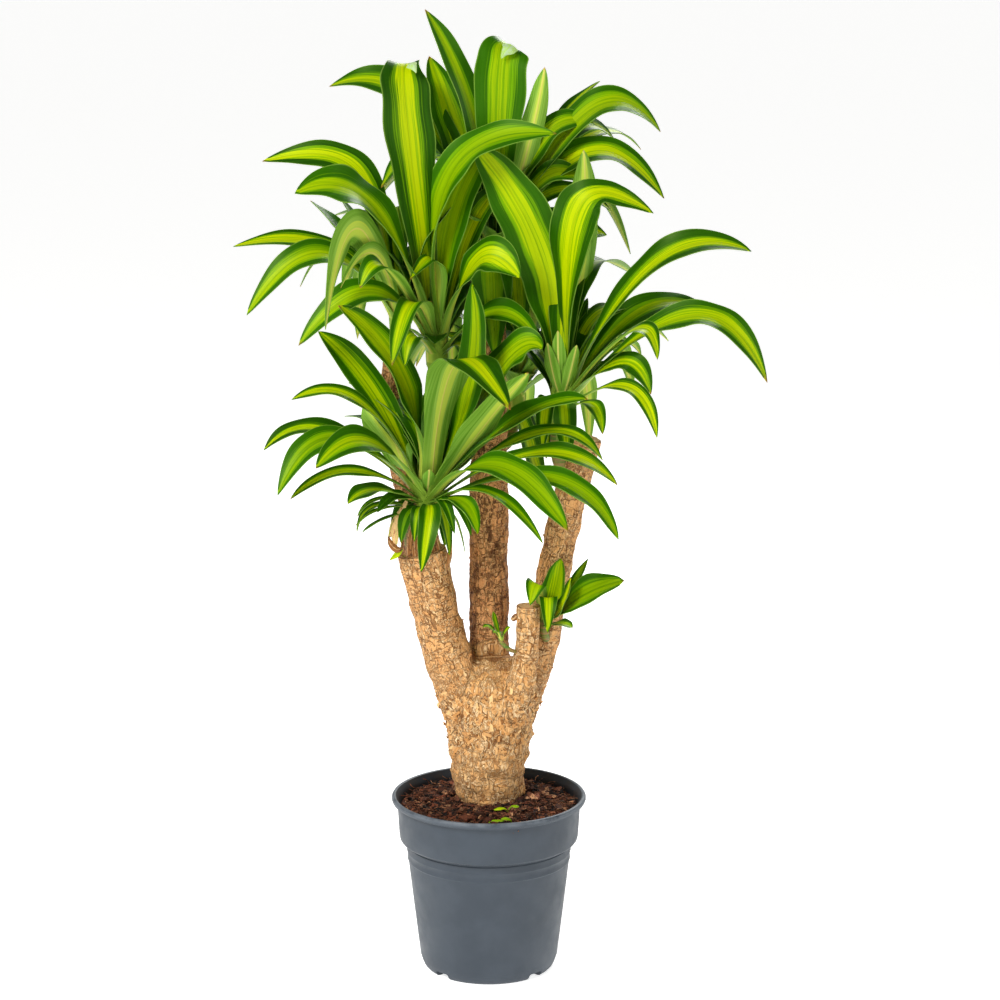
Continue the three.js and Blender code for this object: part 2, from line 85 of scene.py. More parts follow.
# ------------------------------------------------- trunk: x, y, z, radius rows
TRUNK = [
    [[0, 0, 120, 36], [0, 0, 200, 41.5], [1, 0, 226, 42.5], [-1, 0, 252, 44.5], [0, 1, 278, 48.5],
     [2, 1, 306, 51], [3, 2, 334, 52.5], [4, 5, 358, 48], [4, 10, 376, 38], [3, 14, 390, 26]],
    [[-12, 0, 300, 37], [-31, -2, 350, 32], [-50, -6, 400, 29.5], [-61, -9, 440, 28], [-70, -12, 480, 28.5],
     [-81, -14, 532, 30]],
    [[0, 10, 310, 34], [0, 20, 360, 27], [0, 28, 410, 24.5], [0, 32, 500, 24], [0, 34, 600, 24],
     [2, 36, 650, 20.5], [4, 48, 760, 17], [6, 58, 848, 14]],
    [[14, 0, 300, 34], [38, 4, 348, 27], [58, 8, 392, 23], [70, 8, 440, 21], [78, 8, 490, 20.5],
     [87, 8, 540, 20], [100, 6, 600, 20], [115, 4, 668, 22]],
    [[18, -14, 306, 26], [34, -30, 350, 20], [43, -38, 390, 16], [47, -42, 430, 14], [48, -43, 471, 14.5]],
    [[-52, 4, 420, 16], [-78, 30, 520, 15.5], [-106, 38, 620, 14], [-119, 32, 700, 11.5],
     [-116, 24, 760, 11.5], [-110, 21, 792, 11]],
]
TRUNK_SIDES = 72
BARK_SWELL = 0.028
LIMB_TONE = [0.0, 0.30, 0.92, 0.40, 0.05, 0.75]  # how dark each limb's bark is
LIMB_FLAKY = [1.0, 0.55, 0.5, 0.4, 0.2, 0.5]  # how much its bark curls
# from what height a limb's bark turns dark, and over how much height it does
LIMB_DARK_FROM = [(310, 80), (310, 80), (285, 50), (310, 80), (310, 80), (310, 80)]
LIMB_FLAKES = [0.10, 0.05, 0.04, 0.04, 0.02, 0.05]  # share of spots away from the fork that hold a flake
LIMB_SHIFT = 700  # keeps the bark pattern of one limb from running on in the next
SLIM_FLAKES = (2, 5)  # limbs with narrow flakes
FLAKE_SEED = 7
FORK_CURLY = (330, 55)  # height and reach of the bark at the fork that curls more
FORK_WILD = (322, 62)  # the same for its wandering creases
FORK_FLAKES = (325, 50)  # the same for its flakes
FORK_CHUNKS = {"x": 6, "z": 352, "wide": 20, "high": 26}  # large flakes on the front
TRUNK_KNOBS = [  # x, y, z, size, rise
    (32, -42, 338, 8, 3.2), (-35, -36, 366, 13, 2.4), (5, -48, 352, 9, 2.0), (-22, -46, 306, 14, 1.8),
    (22, -44, 268, 13, 1.6), (-12, -44, 250, 10, 1.4), (40, 20, 300, 15, 2.2), (-30, 40, 320, 16, 2.4),
    (10, 48, 270, 14, 1.8), (-44, 10, 280, 12, 1.6), (50, -16, 392, 6, 1.6),
]
TRUNK_PAINTED_SHADE = [  # x, y, z, size of painted shade in the places between the limbs
    (-24, -6, 400, 12), (-6, -4, 392, 13), (12, -8, 400, 12), (34, -24, 384, 7), (56, -8, 360, 8),
]

# --------------------------------------------------------------- leafy shoots
# stem rows: x, y, z, radius, from the socket in the trunk up to the crown.
# leaf rows: tip x, y, z, middle x, y, z, width, roll in degrees, fold, and the place of "middle".
# rear rows: direction in degrees, length, rise in degrees, bend in degrees, width.
SHOOTS = [
    {"name": "shoot_low_left", "crown": [-74, -28, 600],
     "stem": [[-85, -19, 502, 11], [-89, -23, 545, 12.5], [-82, -27, 580, 12],
         [-74, -28, 606, 10.5], [-73, -29, 628, 8]],
     "leaves": [
         [-175, -70, 838, -98, -50, 752, 54, 55, 0],
         [-202, -20, 800, -136, -16, 728, 40, 50, 0],
         [-230, -90, 730, -148, -66, 724, 26, 30, 0],
         [-266, -60, 664, -190, -40, 687, 30, 30, 0],
         [-245, -130, 624, -178, -90, 688, 38, 30, 0],
         [-198, -160, 662, -136, -104, 686, 40, 40, 0],
         [-232, -110, 615, -161, -76, 644, 18, 30, 0],
         [-165, -100, 608, -130, -70, 622, 34, 10, 0],
         [-158, -40, 561, -136, -36, 593, 12, 20, 0],
         [-79, -104, 526, -69, -82, 592, 26, 0, 0],
         [26, -168, 732, -38, -88, 776, 66, 0, 0.8],
         [-20, -54, 862, -24, -44, 746, 44, -70, 0],
         [64, -62, 786, 10, -40, 762, 54, -40, 0],
         [46, -124, 768, -6, -76, 705, 54, 10, 0],
         [116, -84, 730, 30, -58, 704, 46, -20, 0],
         [135, -74, 655, 58, -62, 688, 28, -20, 0],
         [151, -118, 634, 58, -88, 670, 34, -20, 0],
         [151, -160, 578, 70, -116, 646, 36, -20, 0],
         [92, -190, 595, 8, -120, 662, 46, -20, 0],
         [64, -130, 567, 0, -96, 624, 20, -10, 0],
         [-12, -110, 573, -32, -80, 609, 24, -10, 0],
         [-28, -20, 531, -44, -26, 585, 16, 0, 0],
         [-150, 10, 706, -120, -6, 672, 42, -130, 0],
         [-46, -60, 536, -54, -46, 590, 20, 0, 0]],
     "rear": [
         [104, 240, 62, 80, 34], [85, 220, 35, 95, 28], [72, 220, 48, 90, 30],
         [90, 210, 5, 75, 24], [60, 230, 22, 90, 28]]},
    {"name": "shoot_right", "crown": [88, -8, 712],
     "stem": [[98, 4, 606, 8.5], [86, -3, 640, 9], [84, -7, 670, 9.5], [88, -8, 715, 10], [89, -8, 740, 8]],
     "leaves": [
         [-20, 20, 1020, 60, 6, 892, 66, 75, 0],
         [196, 2, 938, 152, -10, 962, 66, -50, 0.8, 0.82],
         [79, 16, 866, 78, 34, 888, 64, 0, 0.9, 0.78],
         [309, -40, 898, 192, -30, 886, 46, -35, 0],
         [265, 40, 817, 176, 20, 819, 40, -30, 0],
         [329, -60, 745, 236, -54, 828, 42, -35, 0],
         [197, -100, 779, 168, -70, 811, 26, -20, 0],
         [187, 80, 755, 152, 50, 774, 22, 0, 0],
         [197, -110, 688, 162, -86, 747, 22, -25, 0],
         [192, -60, 731, 156, -50, 771, 32, -35, 0],
         [135, -70, 685, 122, -50, 720, 22, -10, 0],
         [113, 34, 1010, 110, 34, 892, 40, 130, 0],
         [94, -54, 648, 90, -38, 714, 30, 0, 0],
         [64, -50, 660, 70, -38, 722, 26, 0, 0]],
     "rear": [
         [38, 250, 60, 85, 38], [62, 320, 72, 80, 42], [78, 270, 80, 70, 40], [54, 240, 40, 95, 32],
         [76, 240, 10, 80, 26]]},
    {"name": "shoot_mid_left", "crown": [-62, 16, 768],
     "stem": [[2, 36, 664, 8.5], [-28, 32, 692, 8.5], [-54, 22, 732, 9], [-62, 16, 772, 9.5],
         [-62, 16, 796, 7.5]],
     "leaves": [
         [-92, 92, 1090, -97, 62, 1109, 66, 0, 0.75, 0.85],
         [80, -10, 1033, -50, 6, 985, 56, -45, 0],
         [38, -44, 867, -16, -24, 888, 54, -50, 0.2],
         [10, 40, 1030, -48, 20, 930, 50, -50, 0],
         [-224, -70, 969, -128, -36, 952, 62, 45, 0],
         [-223, -60, 789, -135, -40, 854, 40, 35, 0],
         [-127, 4, 968, -104, 40, 1000, 50, 55, 0.9, 0.75],
         [60, -20, 788, 6, -12, 826, 38, -30, 0],
         [-92, -34, 864, -74, -6, 884, 36, 20, 0.9, 0.75],
         [24, 46, 962, -22, 34, 918, 32, -50, 0],
         [-98, -56, 764, -88, -36, 800, 26, 20, 0],
         [8, -2, 684, -24, 6, 778, 44, -20, 0],
         [-148, -96, 862, -116, -66, 884, 34, 20, 0.2]],
     "rear": [
         [80, 320, 60, 85, 42], [106, 300, 50, 95, 38], [84, 250, 20, 90, 30], [-110, 210, 46, 90, 32]]},
    {"name": "shoot_far_left", "crown": [-106, 20, 806],
     "stem": [[-113, 22, 772, 7.5], [-108, 21, 800, 8.5], [-106, 20, 812, 9], [-106, 20, 834, 7.5]],
     "leaves": [
         [-270, 40, 996, -174, 30, 1000, 44, 50, 0.5, 0.62],
         [-302, -10, 900, -186, 10, 898, 30, 35, 0],
         [-285, -40, 822, -196, -22, 897, 38, 40, 0],
         [-189, -100, 814, -150, -52, 924, 44, -80, 0.1, 0.4],
         [-172, -80, 860, -136, -44, 897, 26, -70, 0],
         [-230, 80, 840, -176, 60, 888, 24, 20, 0]],
     "rear": [
         [98, 300, 60, 90, 38], [116, 270, 48, 95, 34], [112, 250, 30, 95, 30], [124, 240, 70, 70, 34]]},
    {"name": "shoot_top", "crown": [6, 60, 872],
     "stem": [[5, 57, 818, 8.5], [6, 59, 850, 9], [6, 60, 876, 10.4], [6, 60, 901, 8]],
     "leaves": [
         [-75, 60, 1174, -14, 62, 1045, 44, 40, 0],
         [-72, 114, 1116, -34, 86, 1014, 48, 40, 0],
         [34, 126, 1108, 27, 96, 1128, 62, -30, 0.8, 0.85],
         [67, 60, 1106, 46, 66, 1010, 30, 80, 0],
         [-193, 110, 1080, -82, 90, 1062, 48, 40, 0],
         [-15, 130, 1066, -8, 94, 980, 36, 20, 0],
         [208, 90, 1027, 116, 76, 1055, 48, -35, 0],
         [153, 120, 1016, 86, 96, 1022, 42, -30, 0],
         [212, 64, 949, 113, 59, 1008, 48, -34, 0],
         [137, 180, 1082, 70, 120, 1016, 24, 0, 0],
         [190, 200, 996, 110, 140, 1012, 24, -20, 0],
         [150, 100, 930, 75, 80, 958, 32, -30, 0],
         [146, 140, 896, 74, 100, 912, 52, -50, 0],
         [8, 14, 762, 4, 28, 872, 50, 0, 0],
         [38, 18, 780, 30, 32, 880, 42, -20, 0],
         [128, 86, 1036, 60, 70, 1020, 38, -40, 0],
         [120, 44, 968, 62, 48, 976, 36, -40, 0]],
     "rear": [
         [60, 320, 65, 85, 40], [100, 330, 70, 80, 42], [140, 310, 55, 90, 38], [30, 300, 45, 95, 36],
         [80, 290, 40, 95, 34], [120, 280, 30, 95, 32], [150, 280, 62, 90, 34]]},
    {"name": "shoot_back", "crown": [32, 90, 700],
     "stem": [[6, 36, 640, 8.5], [22, 62, 652, 8.5], [31, 84, 676, 8.5], [32, 90, 705, 9.5],
         [32, 90, 728, 7.5]],
     "leaves": [
         [74, 44, 566, 48, 64, 664, 32, 10, 0],
         [58, 46, 872, 48, 66, 800, 42, 0, 0],
         [110, 40, 770, 66, 66, 762, 36, -20, 0],
         [70, 10, 640, 62, 50, 690, 30, 0, 0]],
     "rear": [
         [90, 320, 65, 85, 42], [72, 300, 48, 95, 38], [130, 300, 50, 95, 38], [108, 290, 28, 95, 34],
         [152, 260, 35, 95, 32], [84, 240, 0, 75, 24], [120, 240, -2, 75, 24]]},
    {"name": "shoot_small_right", "crown": [67, -25, 440],
     "stem": [[74, 2, 418, 4.5], [69, -18, 424, 5], [67, -25, 436, 5.5], [67, -26, 454, 4.5]],
     "leaves": [
         [162, -70, 508, 108, -56, 488, 44, -45, 0],
         [87, -30, 526, 76, -32, 480, 36, -75, 0],
         [120, -12, 521, 94, -24, 482, 16, -30, 0],
         [50, -62, 475, 58, -44, 499, 26, 20, 0.6, 0.6],
         [101, -62, 448, 84, -48, 452, 20, -10, 0],
         [98, -62, 510, 86, -52, 474, 26, -60, 0],
         [71, -76, 444, 72, -54, 482, 22, 0, 0.4, 0.6]],
     "rear": []},
    {"name": "shoot_tiny", "crown": [15, -53, 431],
     "stem": [[39, -42, 412, 2.6], [26, -50, 417, 2.6], [15, -53, 429, 2.7], [15, -53, 440, 2.4]],
     "leaves": [
         [-7, -54, 446, 2, -52, 447, 10, 10, 0],
         [6, -48, 464, 9, -50, 452, 9, 10, 0],
         [6, -64, 442, 11, -58, 443, 9, 10, 0],
         [26, -52, 446, 21, -52, 443, 8, -10, 0]],
     "rear": []},
]
SMALL_SHOOTS = ("shoot_small_right", "shoot_tiny")
OPEN_HEARTS = ("shoot_low_left", "shoot_right")  # heads with no young leaves at the front
CLASP = 0.09  # part of a blade that is wrapped round the stem
INNER_LEAVES = 11
INNER_FROM = 60  # number of the first inner leaf, past those of the lists
EXTRA_LEAVES = {  # short leaves that close the crowns, drawn dark green as painted shade
    "shoot_low_left": [
        [-104, -66, 552, -96, -56, 588, 17, 20, 0], [-66, -72, 552, -70, -64, 590, 17, -10, 0],
        [-88, -74, 556, -84, -62, 592, 16, 0, 0], [-52, -52, 545, -56, -46, 588, 18, -20, 0],
        [-116, -34, 562, -104, -32, 592, 16, 30, 0], [-132, -66, 590, -108, -56, 610, 16, 30, 0],
        [-156, -62, 584, -128, -56, 606, 7, 20, 0], [-158, -60, 573, -126, -58, 594, 7, 10, 0],
        [-150, -66, 566, -122, -56, 582, 6, 10, 0], [-40, -78, 566, -54, -58, 604, 14, -20, 0],
        [-20, -64, 560, -40, -50, 600, 12, -30, 0], [-70, -56, 640, -72, -46, 622, 18, 0, 0],
        [-96, -60, 642, -86, -46, 622, 18, 0, 0]],
    "shoot_right": [
        [82, -50, 806, 84, -28, 758, 20, 0, 0], [104, -46, 788, 96, -28, 752, 18, 0, 0],
        [70, -44, 790, 78, -26, 752, 18, 0, 0]],
    "shoot_back": [[80, 40, 792, 58, 66, 752, 36, 0, 0], [98, 60, 744, 66, 76, 732, 30, 0, 0]],
}
LEAF, PAPERY, OLD_SCALE, PALE_FOLD_SHEEN = range(4)  # finishes of the scraps
SCRAPS = [  # piece, slot, and strips: finish, way they face, rows of x, y, z, half width
    ("dry_sheaths", "bark", [
        (PAPERY, (-0.4, -1, 0.2),
         [(-98, -48, 600, 2), (-107, -51, 582, 4.6), (-112, -52, 564, 5.6), (-112, -51, 548, 3)]),
        (PAPERY, (-0.8, -1, 0.1), [(-104, -42, 590, 2), (-115, -44, 572, 3.4), (-119, -45, 556, 2.4)]),
        (OLD_SCALE, (-0.3, -1, 0.5),
         [(-120, -46, 556, 1), (-117, -51, 549, 3.4), (-110, -54, 543, 4), (-102, -51, 543, 1)]),
        (OLD_SCALE, (0.6, -1, 0.2), [(-50, -36, 512, 1), (-46, -36, 530, 3.4), (-44, -33, 556, 0.6)])]),
    # folded tips: the paler back of the leaf with a painted whitish sheen
    ("folded_tips", "leaf", [
        (PALE_FOLD_SHEEN, (0.1, -1, 0.2),
         [(-92, 30, 1113, 7), (-90, 25, 1111, 5.5), (-87, 22, 1107, 3), (-85, 21, 1102, 0.4)]),
        (PALE_FOLD_SHEEN, (-0.1, -1, 0.2),
         [(27, 60, 1133, 10), (24, 54, 1129, 8), (19, 52, 1124, 4), (15, 51, 1117, 0.4)])]),
    ("bud_and_twig", "leaf", [
        (LEAF, (-0.2, -1, 0.3), [(-104, -50, 542, 2), (-110, -53, 536, 3.4), (-118, -52, 529, 0.4)]),
        (OLD_SCALE, (0, -1, 0.2),
         [(38, -42, 457, 2.0), (34, -43, 457, 3.4), (31, -43, 455, 3.6), (28, -42, 452, 2.2)])]),
    ("seedlings", "leaf", [(LEAF, (0, -0.5, 1), spine) for spine in (
        [(24, -62, 217, 0.7), (20, -64, 222, 0.9), (13, -66, 223, 2.4), (6, -66, 221, 0.4)],
        [(24, -62, 220, 0.7), (28, -64, 225, 0.9), (33, -66, 226, 2.2), (37, -66, 225, 0.4)],
        [(-4, -88, 209, 0.7), (4, -90, 215, 1.0), (12, -92, 216, 1.8), (19, -92, 216, 0.4)],
        [(28, -88, 209, 0.7), (27, -90, 216, 1.2), (21, -92, 219, 2.4), (15, -92, 218, 0.4)])]),
]
SHREDS = {  # round the foot of a stem: reach, centre, and where they lean to
    "shoot_low_left": (28, (-80, -14, 533), (-83, -26, 574)),
}
SHRED_COUNT = 30

# ------------------------------------------------------- studio, in metres
FLOOR_RADIUS = 60
LIGHTS = [  # name, place, size, share of the key light's power
    ("key_light", (-1.7, -2.3, 2.9), 1.5, 1.0),
    ("fill_light", (2.4, -1.9, 1.7), 1.8, 0.13),
    ("back_light", (0.9, 2.6, 2.6), 1.6, 0.5),
]
LIT_POINT = (0, 0, 0.62)
CAMERA_PLACE = (0.0138, -3.4, 1.313)
CAMERA_DOWN = 11.99  # degrees below level
SENSOR_WIDTH = 36  # millimetres


# --------------------------------------------------------------- small helpers
def smooth(v):
    """Eases 0..1 at both ends."""
    return v * v * (3 - 2 * v)


def clamp(v, low=0.0, high=1.0):
    return max(low, min(high, v))


def lerp(a, b, t):
    return a + (b - a) * t


def near(height, spot):
    """1 at the spot's height, fading to 0 past its reach."""
    middle, reach = spot
    return math.exp(-((height - middle) / reach) ** 2)


def ripple(a, b):
    """The slow unevenness that the trunk and the soil have in the solids."""
    return math.sin(a * 2.3 + b * 4.1) * 0.5 + math.sin(a * 5.7 - b * 2.6) * 0.3 + math.sin(a + b * 7.9) * 0.2


def once(items):
    """The items in their own order, each of them once, so that every run goes through them alike."""
    return list(dict.fromkeys(items))


def tint(code):
    """A colour as it is seen, in hexadecimal, turned into the linear colour that shaders use."""
    parts = [int(code[i:i + 2], 16) / 255 for i in (0, 2, 4)]
    return tuple(c / 12.92 if c <= 0.04045 else ((c + 0.055) / 1.055) ** 2.4 for c in parts) + (1.0,)


def colour_of(name, code, text):
    """A colour property."""
    return FloatVectorProperty(name=name, description=text, subtype="COLOR", size=4, min=0, max=1,
                               default=tint(code))


def through(rows, t):
    """A smooth line through rows of numbers; t counts rows from the first."""
    i = int(clamp(math.floor(t), 0, len(rows) - 2))
    f = t - i
    p = [rows[int(clamp(k, 0, len(rows) - 1))] for k in (i - 1, i, i + 1, i + 2)]
    return [
        b + 0.5 * f * (c - a + f * (2 * a - 5 * b + 4 * c - d + f * (3 * (b - c) + d - a)))
        for a, b, c, d in zip(*p)
    ]


def mesh_of(bm, name):
    """The mesh of a bmesh, which is freed."""
    mesh = bpy.data.meshes.new(name)
    bm.to_mesh(mesh)
    bm.free()
    return mesh


def finish_piece(bm, name, materials, replaces=None, sharp=40):
    """Turns a bmesh into a finished piece on the part's one body."""
    mesh = mesh_of(bm, name)
    piece = bpy.data.objects.new(name, mesh)
    bpy.context.scene.collection.objects.link(piece)
    for material in materials:
        mesh.materials.append(material)
    mesh.shade_smooth()
    mesh.set_sharp_from_angle(angle=math.radians(sharp))
    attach(piece, BODY)
    if replaces:
        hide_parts(replaces)


def apply_modifiers(piece):
    """Bakes a piece's modifiers into its mesh."""
    graph = bpy.context.evaluated_depsgraph_get()
    made = bpy.data.meshes.new_from_object(piece.evaluated_get(graph))
    old = piece.data
    piece.modifiers.clear()
    piece.data = made
    bpy.data.meshes.remove(old)


def loose_piece(bm, name):
    """A working object from a bmesh, to be cut or remeshed."""
    piece = bpy.data.objects.new(name, mesh_of(bm, name))
    bpy.context.scene.collection.objects.link(piece)
    return piece


def drop(piece):
    """Removes a working object and its mesh."""
    mesh = piece.data
    bpy.data.objects.remove(piece)
    bpy.data.meshes.remove(mesh)


# ------------------------------------------------------------- shader helpers
class Shader:
    """Adds nodes to a material or a node group in few words."""

    def __init__(self, tree):
        self.tree = tree

    def put(self, socket, value):
        if isinstance(value, bpy.types.NodeSocket):
            self.tree.links.new(value, socket)
        elif value is not None:
            socket.default_value = value

    def node(self, kind, inputs=(), **settings):
        made = self.tree.nodes.new(kind)
        for key, value in settings.items():
            setattr(made, key, value)
        for key, value in dict(inputs).items():
            self.put(made.inputs[key], value)
        return made

    def math(self, operation, a, b=None):
        made = self.node("ShaderNodeMath", operation=operation)
        for socket, value in zip(made.inputs, (a, b)):
            self.put(socket, value)
        return made.outputs[0]

    def vector(self, operation, a, b=None):
        made = self.node("ShaderNodeVectorMath", operation=operation)
        for socket, value in zip(made.inputs, (a, b)):
            self.put(socket, value)
        return made.outputs["Value" if operation in ("LENGTH", "DOT_PRODUCT") else "Vector"]

    def mix(self, factor, a, b):
        made = self.node("ShaderNodeMix", data_type="RGBA", clamp_factor=True)
        for key, value in ((0, factor), (6, a), (7, b)):
            self.put(made.inputs[key], value)
        return made.outputs[2]

    def spread(self, value, low, high, to_low=0.0, to_high=1.0):
        """Maps low..high onto to_low..to_high, softly at both ends."""
        made = self.node("ShaderNodeMapRange", interpolation_type="SMOOTHSTEP")
        for key, entry in enumerate((value, low, high, to_low, to_high)):
            self.put(made.inputs[key], entry)
        return made.outputs[0]

    def noise(self, vector, scale=1.0, detail=2.0, rough=0.5, bent=0.0):
        made = self.node("ShaderNodeTexNoise", {"Vector": vector, "Scale": scale, "Detail": detail,
                                                "Roughness": rough, "Distortion": bent})
        return made.outputs["Fac"]

    def split(self, vector):
        return self.node("ShaderNodeSeparateXYZ", {0: vector}).outputs

    def join(self, x, y, z):
        return self.node("ShaderNodeCombineXYZ", {0: x, 1: y, 2: z}).outputs[0]

    def attribute(self, name):
        return self.node("ShaderNodeAttribute", attribute_name=name).outputs["Vector"]

    def place(self):
        """The point on the piece, in millimetres."""
        here = self.node("ShaderNodeTexCoord").outputs["Object"]
        return self.vector("MULTIPLY", here, (1000, 1000, 1000))

    def bump(self, height, strength, distance):
        inputs = {"Height": height, "Strength": strength, "Distance": distance}
        return self.node("ShaderNodeBump", inputs).outputs[0]

    def group(self, name, **inputs):
        made = self.node("ShaderNodeGroup", node_tree=bpy.data.node_groups[name])
        for key, value in inputs.items():
            self.put(made.inputs[key], value)
        return made.outputs


def new_material(name, **constants):
    """A material with one Principled BSDF; constants are set on the shader's own sockets."""
    material = bpy.data.materials.new(name)
    material.use_nodes = True
    shader = Shader(material.node_tree)
    skin = material.node_tree.nodes["Principled BSDF"]
    for key, value in constants.items():
        skin.inputs[key.replace("_", " ")].default_value = value
    return material, shader, skin


def new_group(name, inputs, outputs):
    """An empty shader node group with named sockets."""
    tree = bpy.data.node_groups.new(name, "ShaderNodeTree")
    for key, kind in inputs.items():
        tree.interface.new_socket(key, in_out="INPUT", socket_type="NodeSocket" + kind)
    for key, kind in outputs.items():
        tree.interface.new_socket(key, in_out="OUTPUT", socket_type="NodeSocket" + kind)
    shader = Shader(tree)
    return shader, shader.node("NodeGroupInput").outputs, shader.node("NodeGroupOutput").inputs


# ----------------------------------------------------------- shared patterns
def make_leaf_pattern():
    """Lengthwise stripes of a leaf: masks for stripe, fringe, fine lines, foot, dry tip, rib and edge."""
    s, given, out = new_group(
        "leaf_pattern", {"Place": "Vector", "Look": "Vector"},
        {"Stripe": "Float", "Fringe": "Float", "Lines": "Float", "Foot": "Float", "Tip": "Float",
         "Tone": "Float", "Rib": "Float", "Edge": "Float"})
    across_mm, along_mm, seed = s.split(given["Place"])
    across, up, stripe = s.split(given["Look"])
    offset = s.math("MULTIPLY", seed, 61.0)
    side = s.math("ABSOLUTE", across)

    def streaks(wide, long, shift, detail):
        """Noise drawn out along the blade, round zero."""
        place = s.join(s.math("MULTIPLY", across, wide), s.math("MULTIPLY", along_mm, long),
                       s.math("ADD", offset, shift))
        return s.math("SUBTRACT", s.noise(place, 1.0, detail, 0.6), 0.5)

    drift, band = streaks(1.6, 0.006, 0.0, 2.0), streaks(7.0, 0.0032, 3.0, 2.0)
    streak, other = streaks(21.0, 0.0026, 7.0, 2.0), streaks(15.0, 0.0030, 11.0, 2.0)
    slow = s.math("MULTIPLY", s.math("ADD", drift, band), 0.34)
    ragged = s.math("ADD", slow, s.math("MULTIPLY", streak, 0.40))
    torn = s.math("ADD", slow, s.math("MULTIPLY", other, 0.55))
    edge = s.math("SUBTRACT", s.math("ADD", side, ragged), stripe)
    wide = s.math("SUBTRACT", s.math("ADD", side, torn), stripe)
    s.put(out["Stripe"], s.spread(edge, 0.030, -0.035))
    s.put(out["Fringe"], s.spread(wide, 0.25, 0.10))
    fine = s.join(s.math("MULTIPLY", across_mm, 0.55), s.math("MULTIPLY", along_mm, 0.004), offset)
    s.put(out["Lines"], s.noise(fine, 1.0, 3.0, 0.65))
    s.put(out["Foot"], s.spread(up, 0.16, 0.02))
    s.put(out["Edge"], s.spread(side, 0.945, 0.985))
    dry_from = s.math("SUBTRACT", 1.005, s.math("MULTIPLY", s.math("FRACT", offset), 0.045))
    s.put(out["Tip"], s.spread(s.math("ADD", up, s.math("MULTIPLY", band, 0.03)), dry_from, 1.02))
    s.put(out["Tone"], s.math("FRACT", s.math("MULTIPLY", offset, 3.7)))
    s.put(out["Rib"], s.spread(s.math("ABSOLUTE", across_mm), 1.5, 0.3))


def make_bark_pattern():
    """Bark masks: plates, dark creases for painted shade and lit edges beside them for painted highlight,
    fibres, level rings, and the height.
    """
    s, given, out = new_group(
        "bark_pattern", {"Place": "Vector", "Wild": "Float"},
        {"Plate": "Float", "Crease": "Float", "Lit": "Float", "Fibre": "Float", "Ring": "Float",
         "Height": "Float"})
    place = given["Place"]
    cloud = s.node("ShaderNodeTexNoise", {"Vector": place, "Scale": 0.11, "Detail": 2.0}).outputs["Color"]
    warp = s.vector("SUBTRACT", cloud, (0.5, 0.5, 0.5))
    bent = s.vector("ADD", place, s.vector("MULTIPLY", warp, (8, 8, 8)))
    patch = s.spread(s.noise(place, 0.075, 2.0), 0.38, 0.56)

    def creases(stretch, shift, wide):
        """Thin wandering lines and a lit edge on one side of each."""
        moved = s.vector("ADD", s.vector("MULTIPLY", bent, stretch), (shift, shift, shift))
        level = s.math("SUBTRACT", s.noise(moved, 1.0, 2.0, 0.55, 0.4), 0.5)
        line = s.spread(s.math("ABSOLUTE", level), wide, wide * 0.25)
        beside = s.spread(level, wide * 0.9, wide * 1.3)
        return line, s.math("MULTIPLY", beside, s.spread(level, wide * 2.6, wide * 1.6))

    upright, upright_lit = creases((0.12, 0.12, 0.020), 0.0, 0.030)
    more, more_lit = creases((0.22, 0.22, 0.030), 9.0, 0.028)
    level, level_lit = creases((0.035, 0.035, 0.120), 17.0, 0.022)
    worm, worm_lit = creases((0.105, 0.105, 0.080), 31.0, 0.036)
    calm = s.math("SUBTRACT", 1.0, given["Wild"])
    along = s.math("MAXIMUM", s.math("MULTIPLY", upright, s.spread(patch, 0, 1, 0.35, 1.0)),
                   s.math("MULTIPLY", more, s.spread(patch, 1, 0, 0.0, 0.8)))
    both = s.math("MAXIMUM", along, s.math("MULTIPLY", level, 0.85))
    both = s.math("MULTIPLY", both, s.spread(calm, 0, 1, 0.45, 1))
    crease = s.math("MAXIMUM", both, s.math("MULTIPLY", worm, s.spread(given["Wild"], 0, 1, 0.08, 1.0)))
    lit = s.math("MAXIMUM", s.math("MULTIPLY", s.math("MAXIMUM", upright_lit, level_lit), 0.8),
                 s.math("MULTIPLY", worm_lit, s.spread(given["Wild"], 0, 1, 0.12, 1.0)))
    lit = s.math("MAXIMUM", lit, s.math("MULTIPLY", more_lit, 0.4))
    fibre = s.noise(s.vector("MULTIPLY", bent, (0.50, 0.50, 0.05)), 1.0, 2.0, 0.6)
    plate = s.noise(s.vector("MULTIPLY", bent, (0.075, 0.075, 0.045)), 1.0, 2.0, 0.6)
    turns = s.math("ADD", s.math("MULTIPLY", s.split(place)[2], 0.085),
                   s.math("MULTIPLY", s.noise(place, 0.035, 2.0), 2.6))
    ring = s.spread(s.math("ABSOLUTE", s.math("SUBTRACT", s.math("FRACT", turns), 0.5)), 0.42, 0.475)
    s.put(out["Plate"], plate)
    s.put(out["Crease"], crease)
    s.put(out["Lit"], lit)
    s.put(out["Fibre"], fibre)
    broken = s.spread(s.noise(place, 0.13, 2.0), 0.46, 0.56)
    s.put(out["Ring"], s.math("MULTIPLY", ring, s.math("MULTIPLY", broken, calm)))
    height = s.math("ADD", s.math("MULTIPLY", fibre, 0.35), s.math("MULTIPLY", lit, 0.5))
    height = s.math("ADD", height, s.math("MULTIPLY", plate, 0.8))
    s.put(out["Height"], s.math("SUBTRACT", height, s.math("MULTIPLY", crease, 0.8)))


def make_speckle_pattern():
    """Small irregular blotches, for scuffs and dust on smooth surfaces."""
    s, given, out = new_group("speckle_pattern", {"Place": "Vector", "Size": "Float"},
                              {"Cloud": "Float", "Specks": "Float", "Grain": "Float"})
    place = s.vector("DIVIDE", given["Place"], s.join(given["Size"], given["Size"], given["Size"]))
    s.put(out["Cloud"], s.noise(place, 0.05, 4.0, 0.6))
    s.put(out["Specks"], s.spread(s.noise(place, 0.8, 3.0, 0.7), 0.66, 0.76))
    s.put(out["Grain"], s.noise(place, 2.2, 2.0, 0.6))


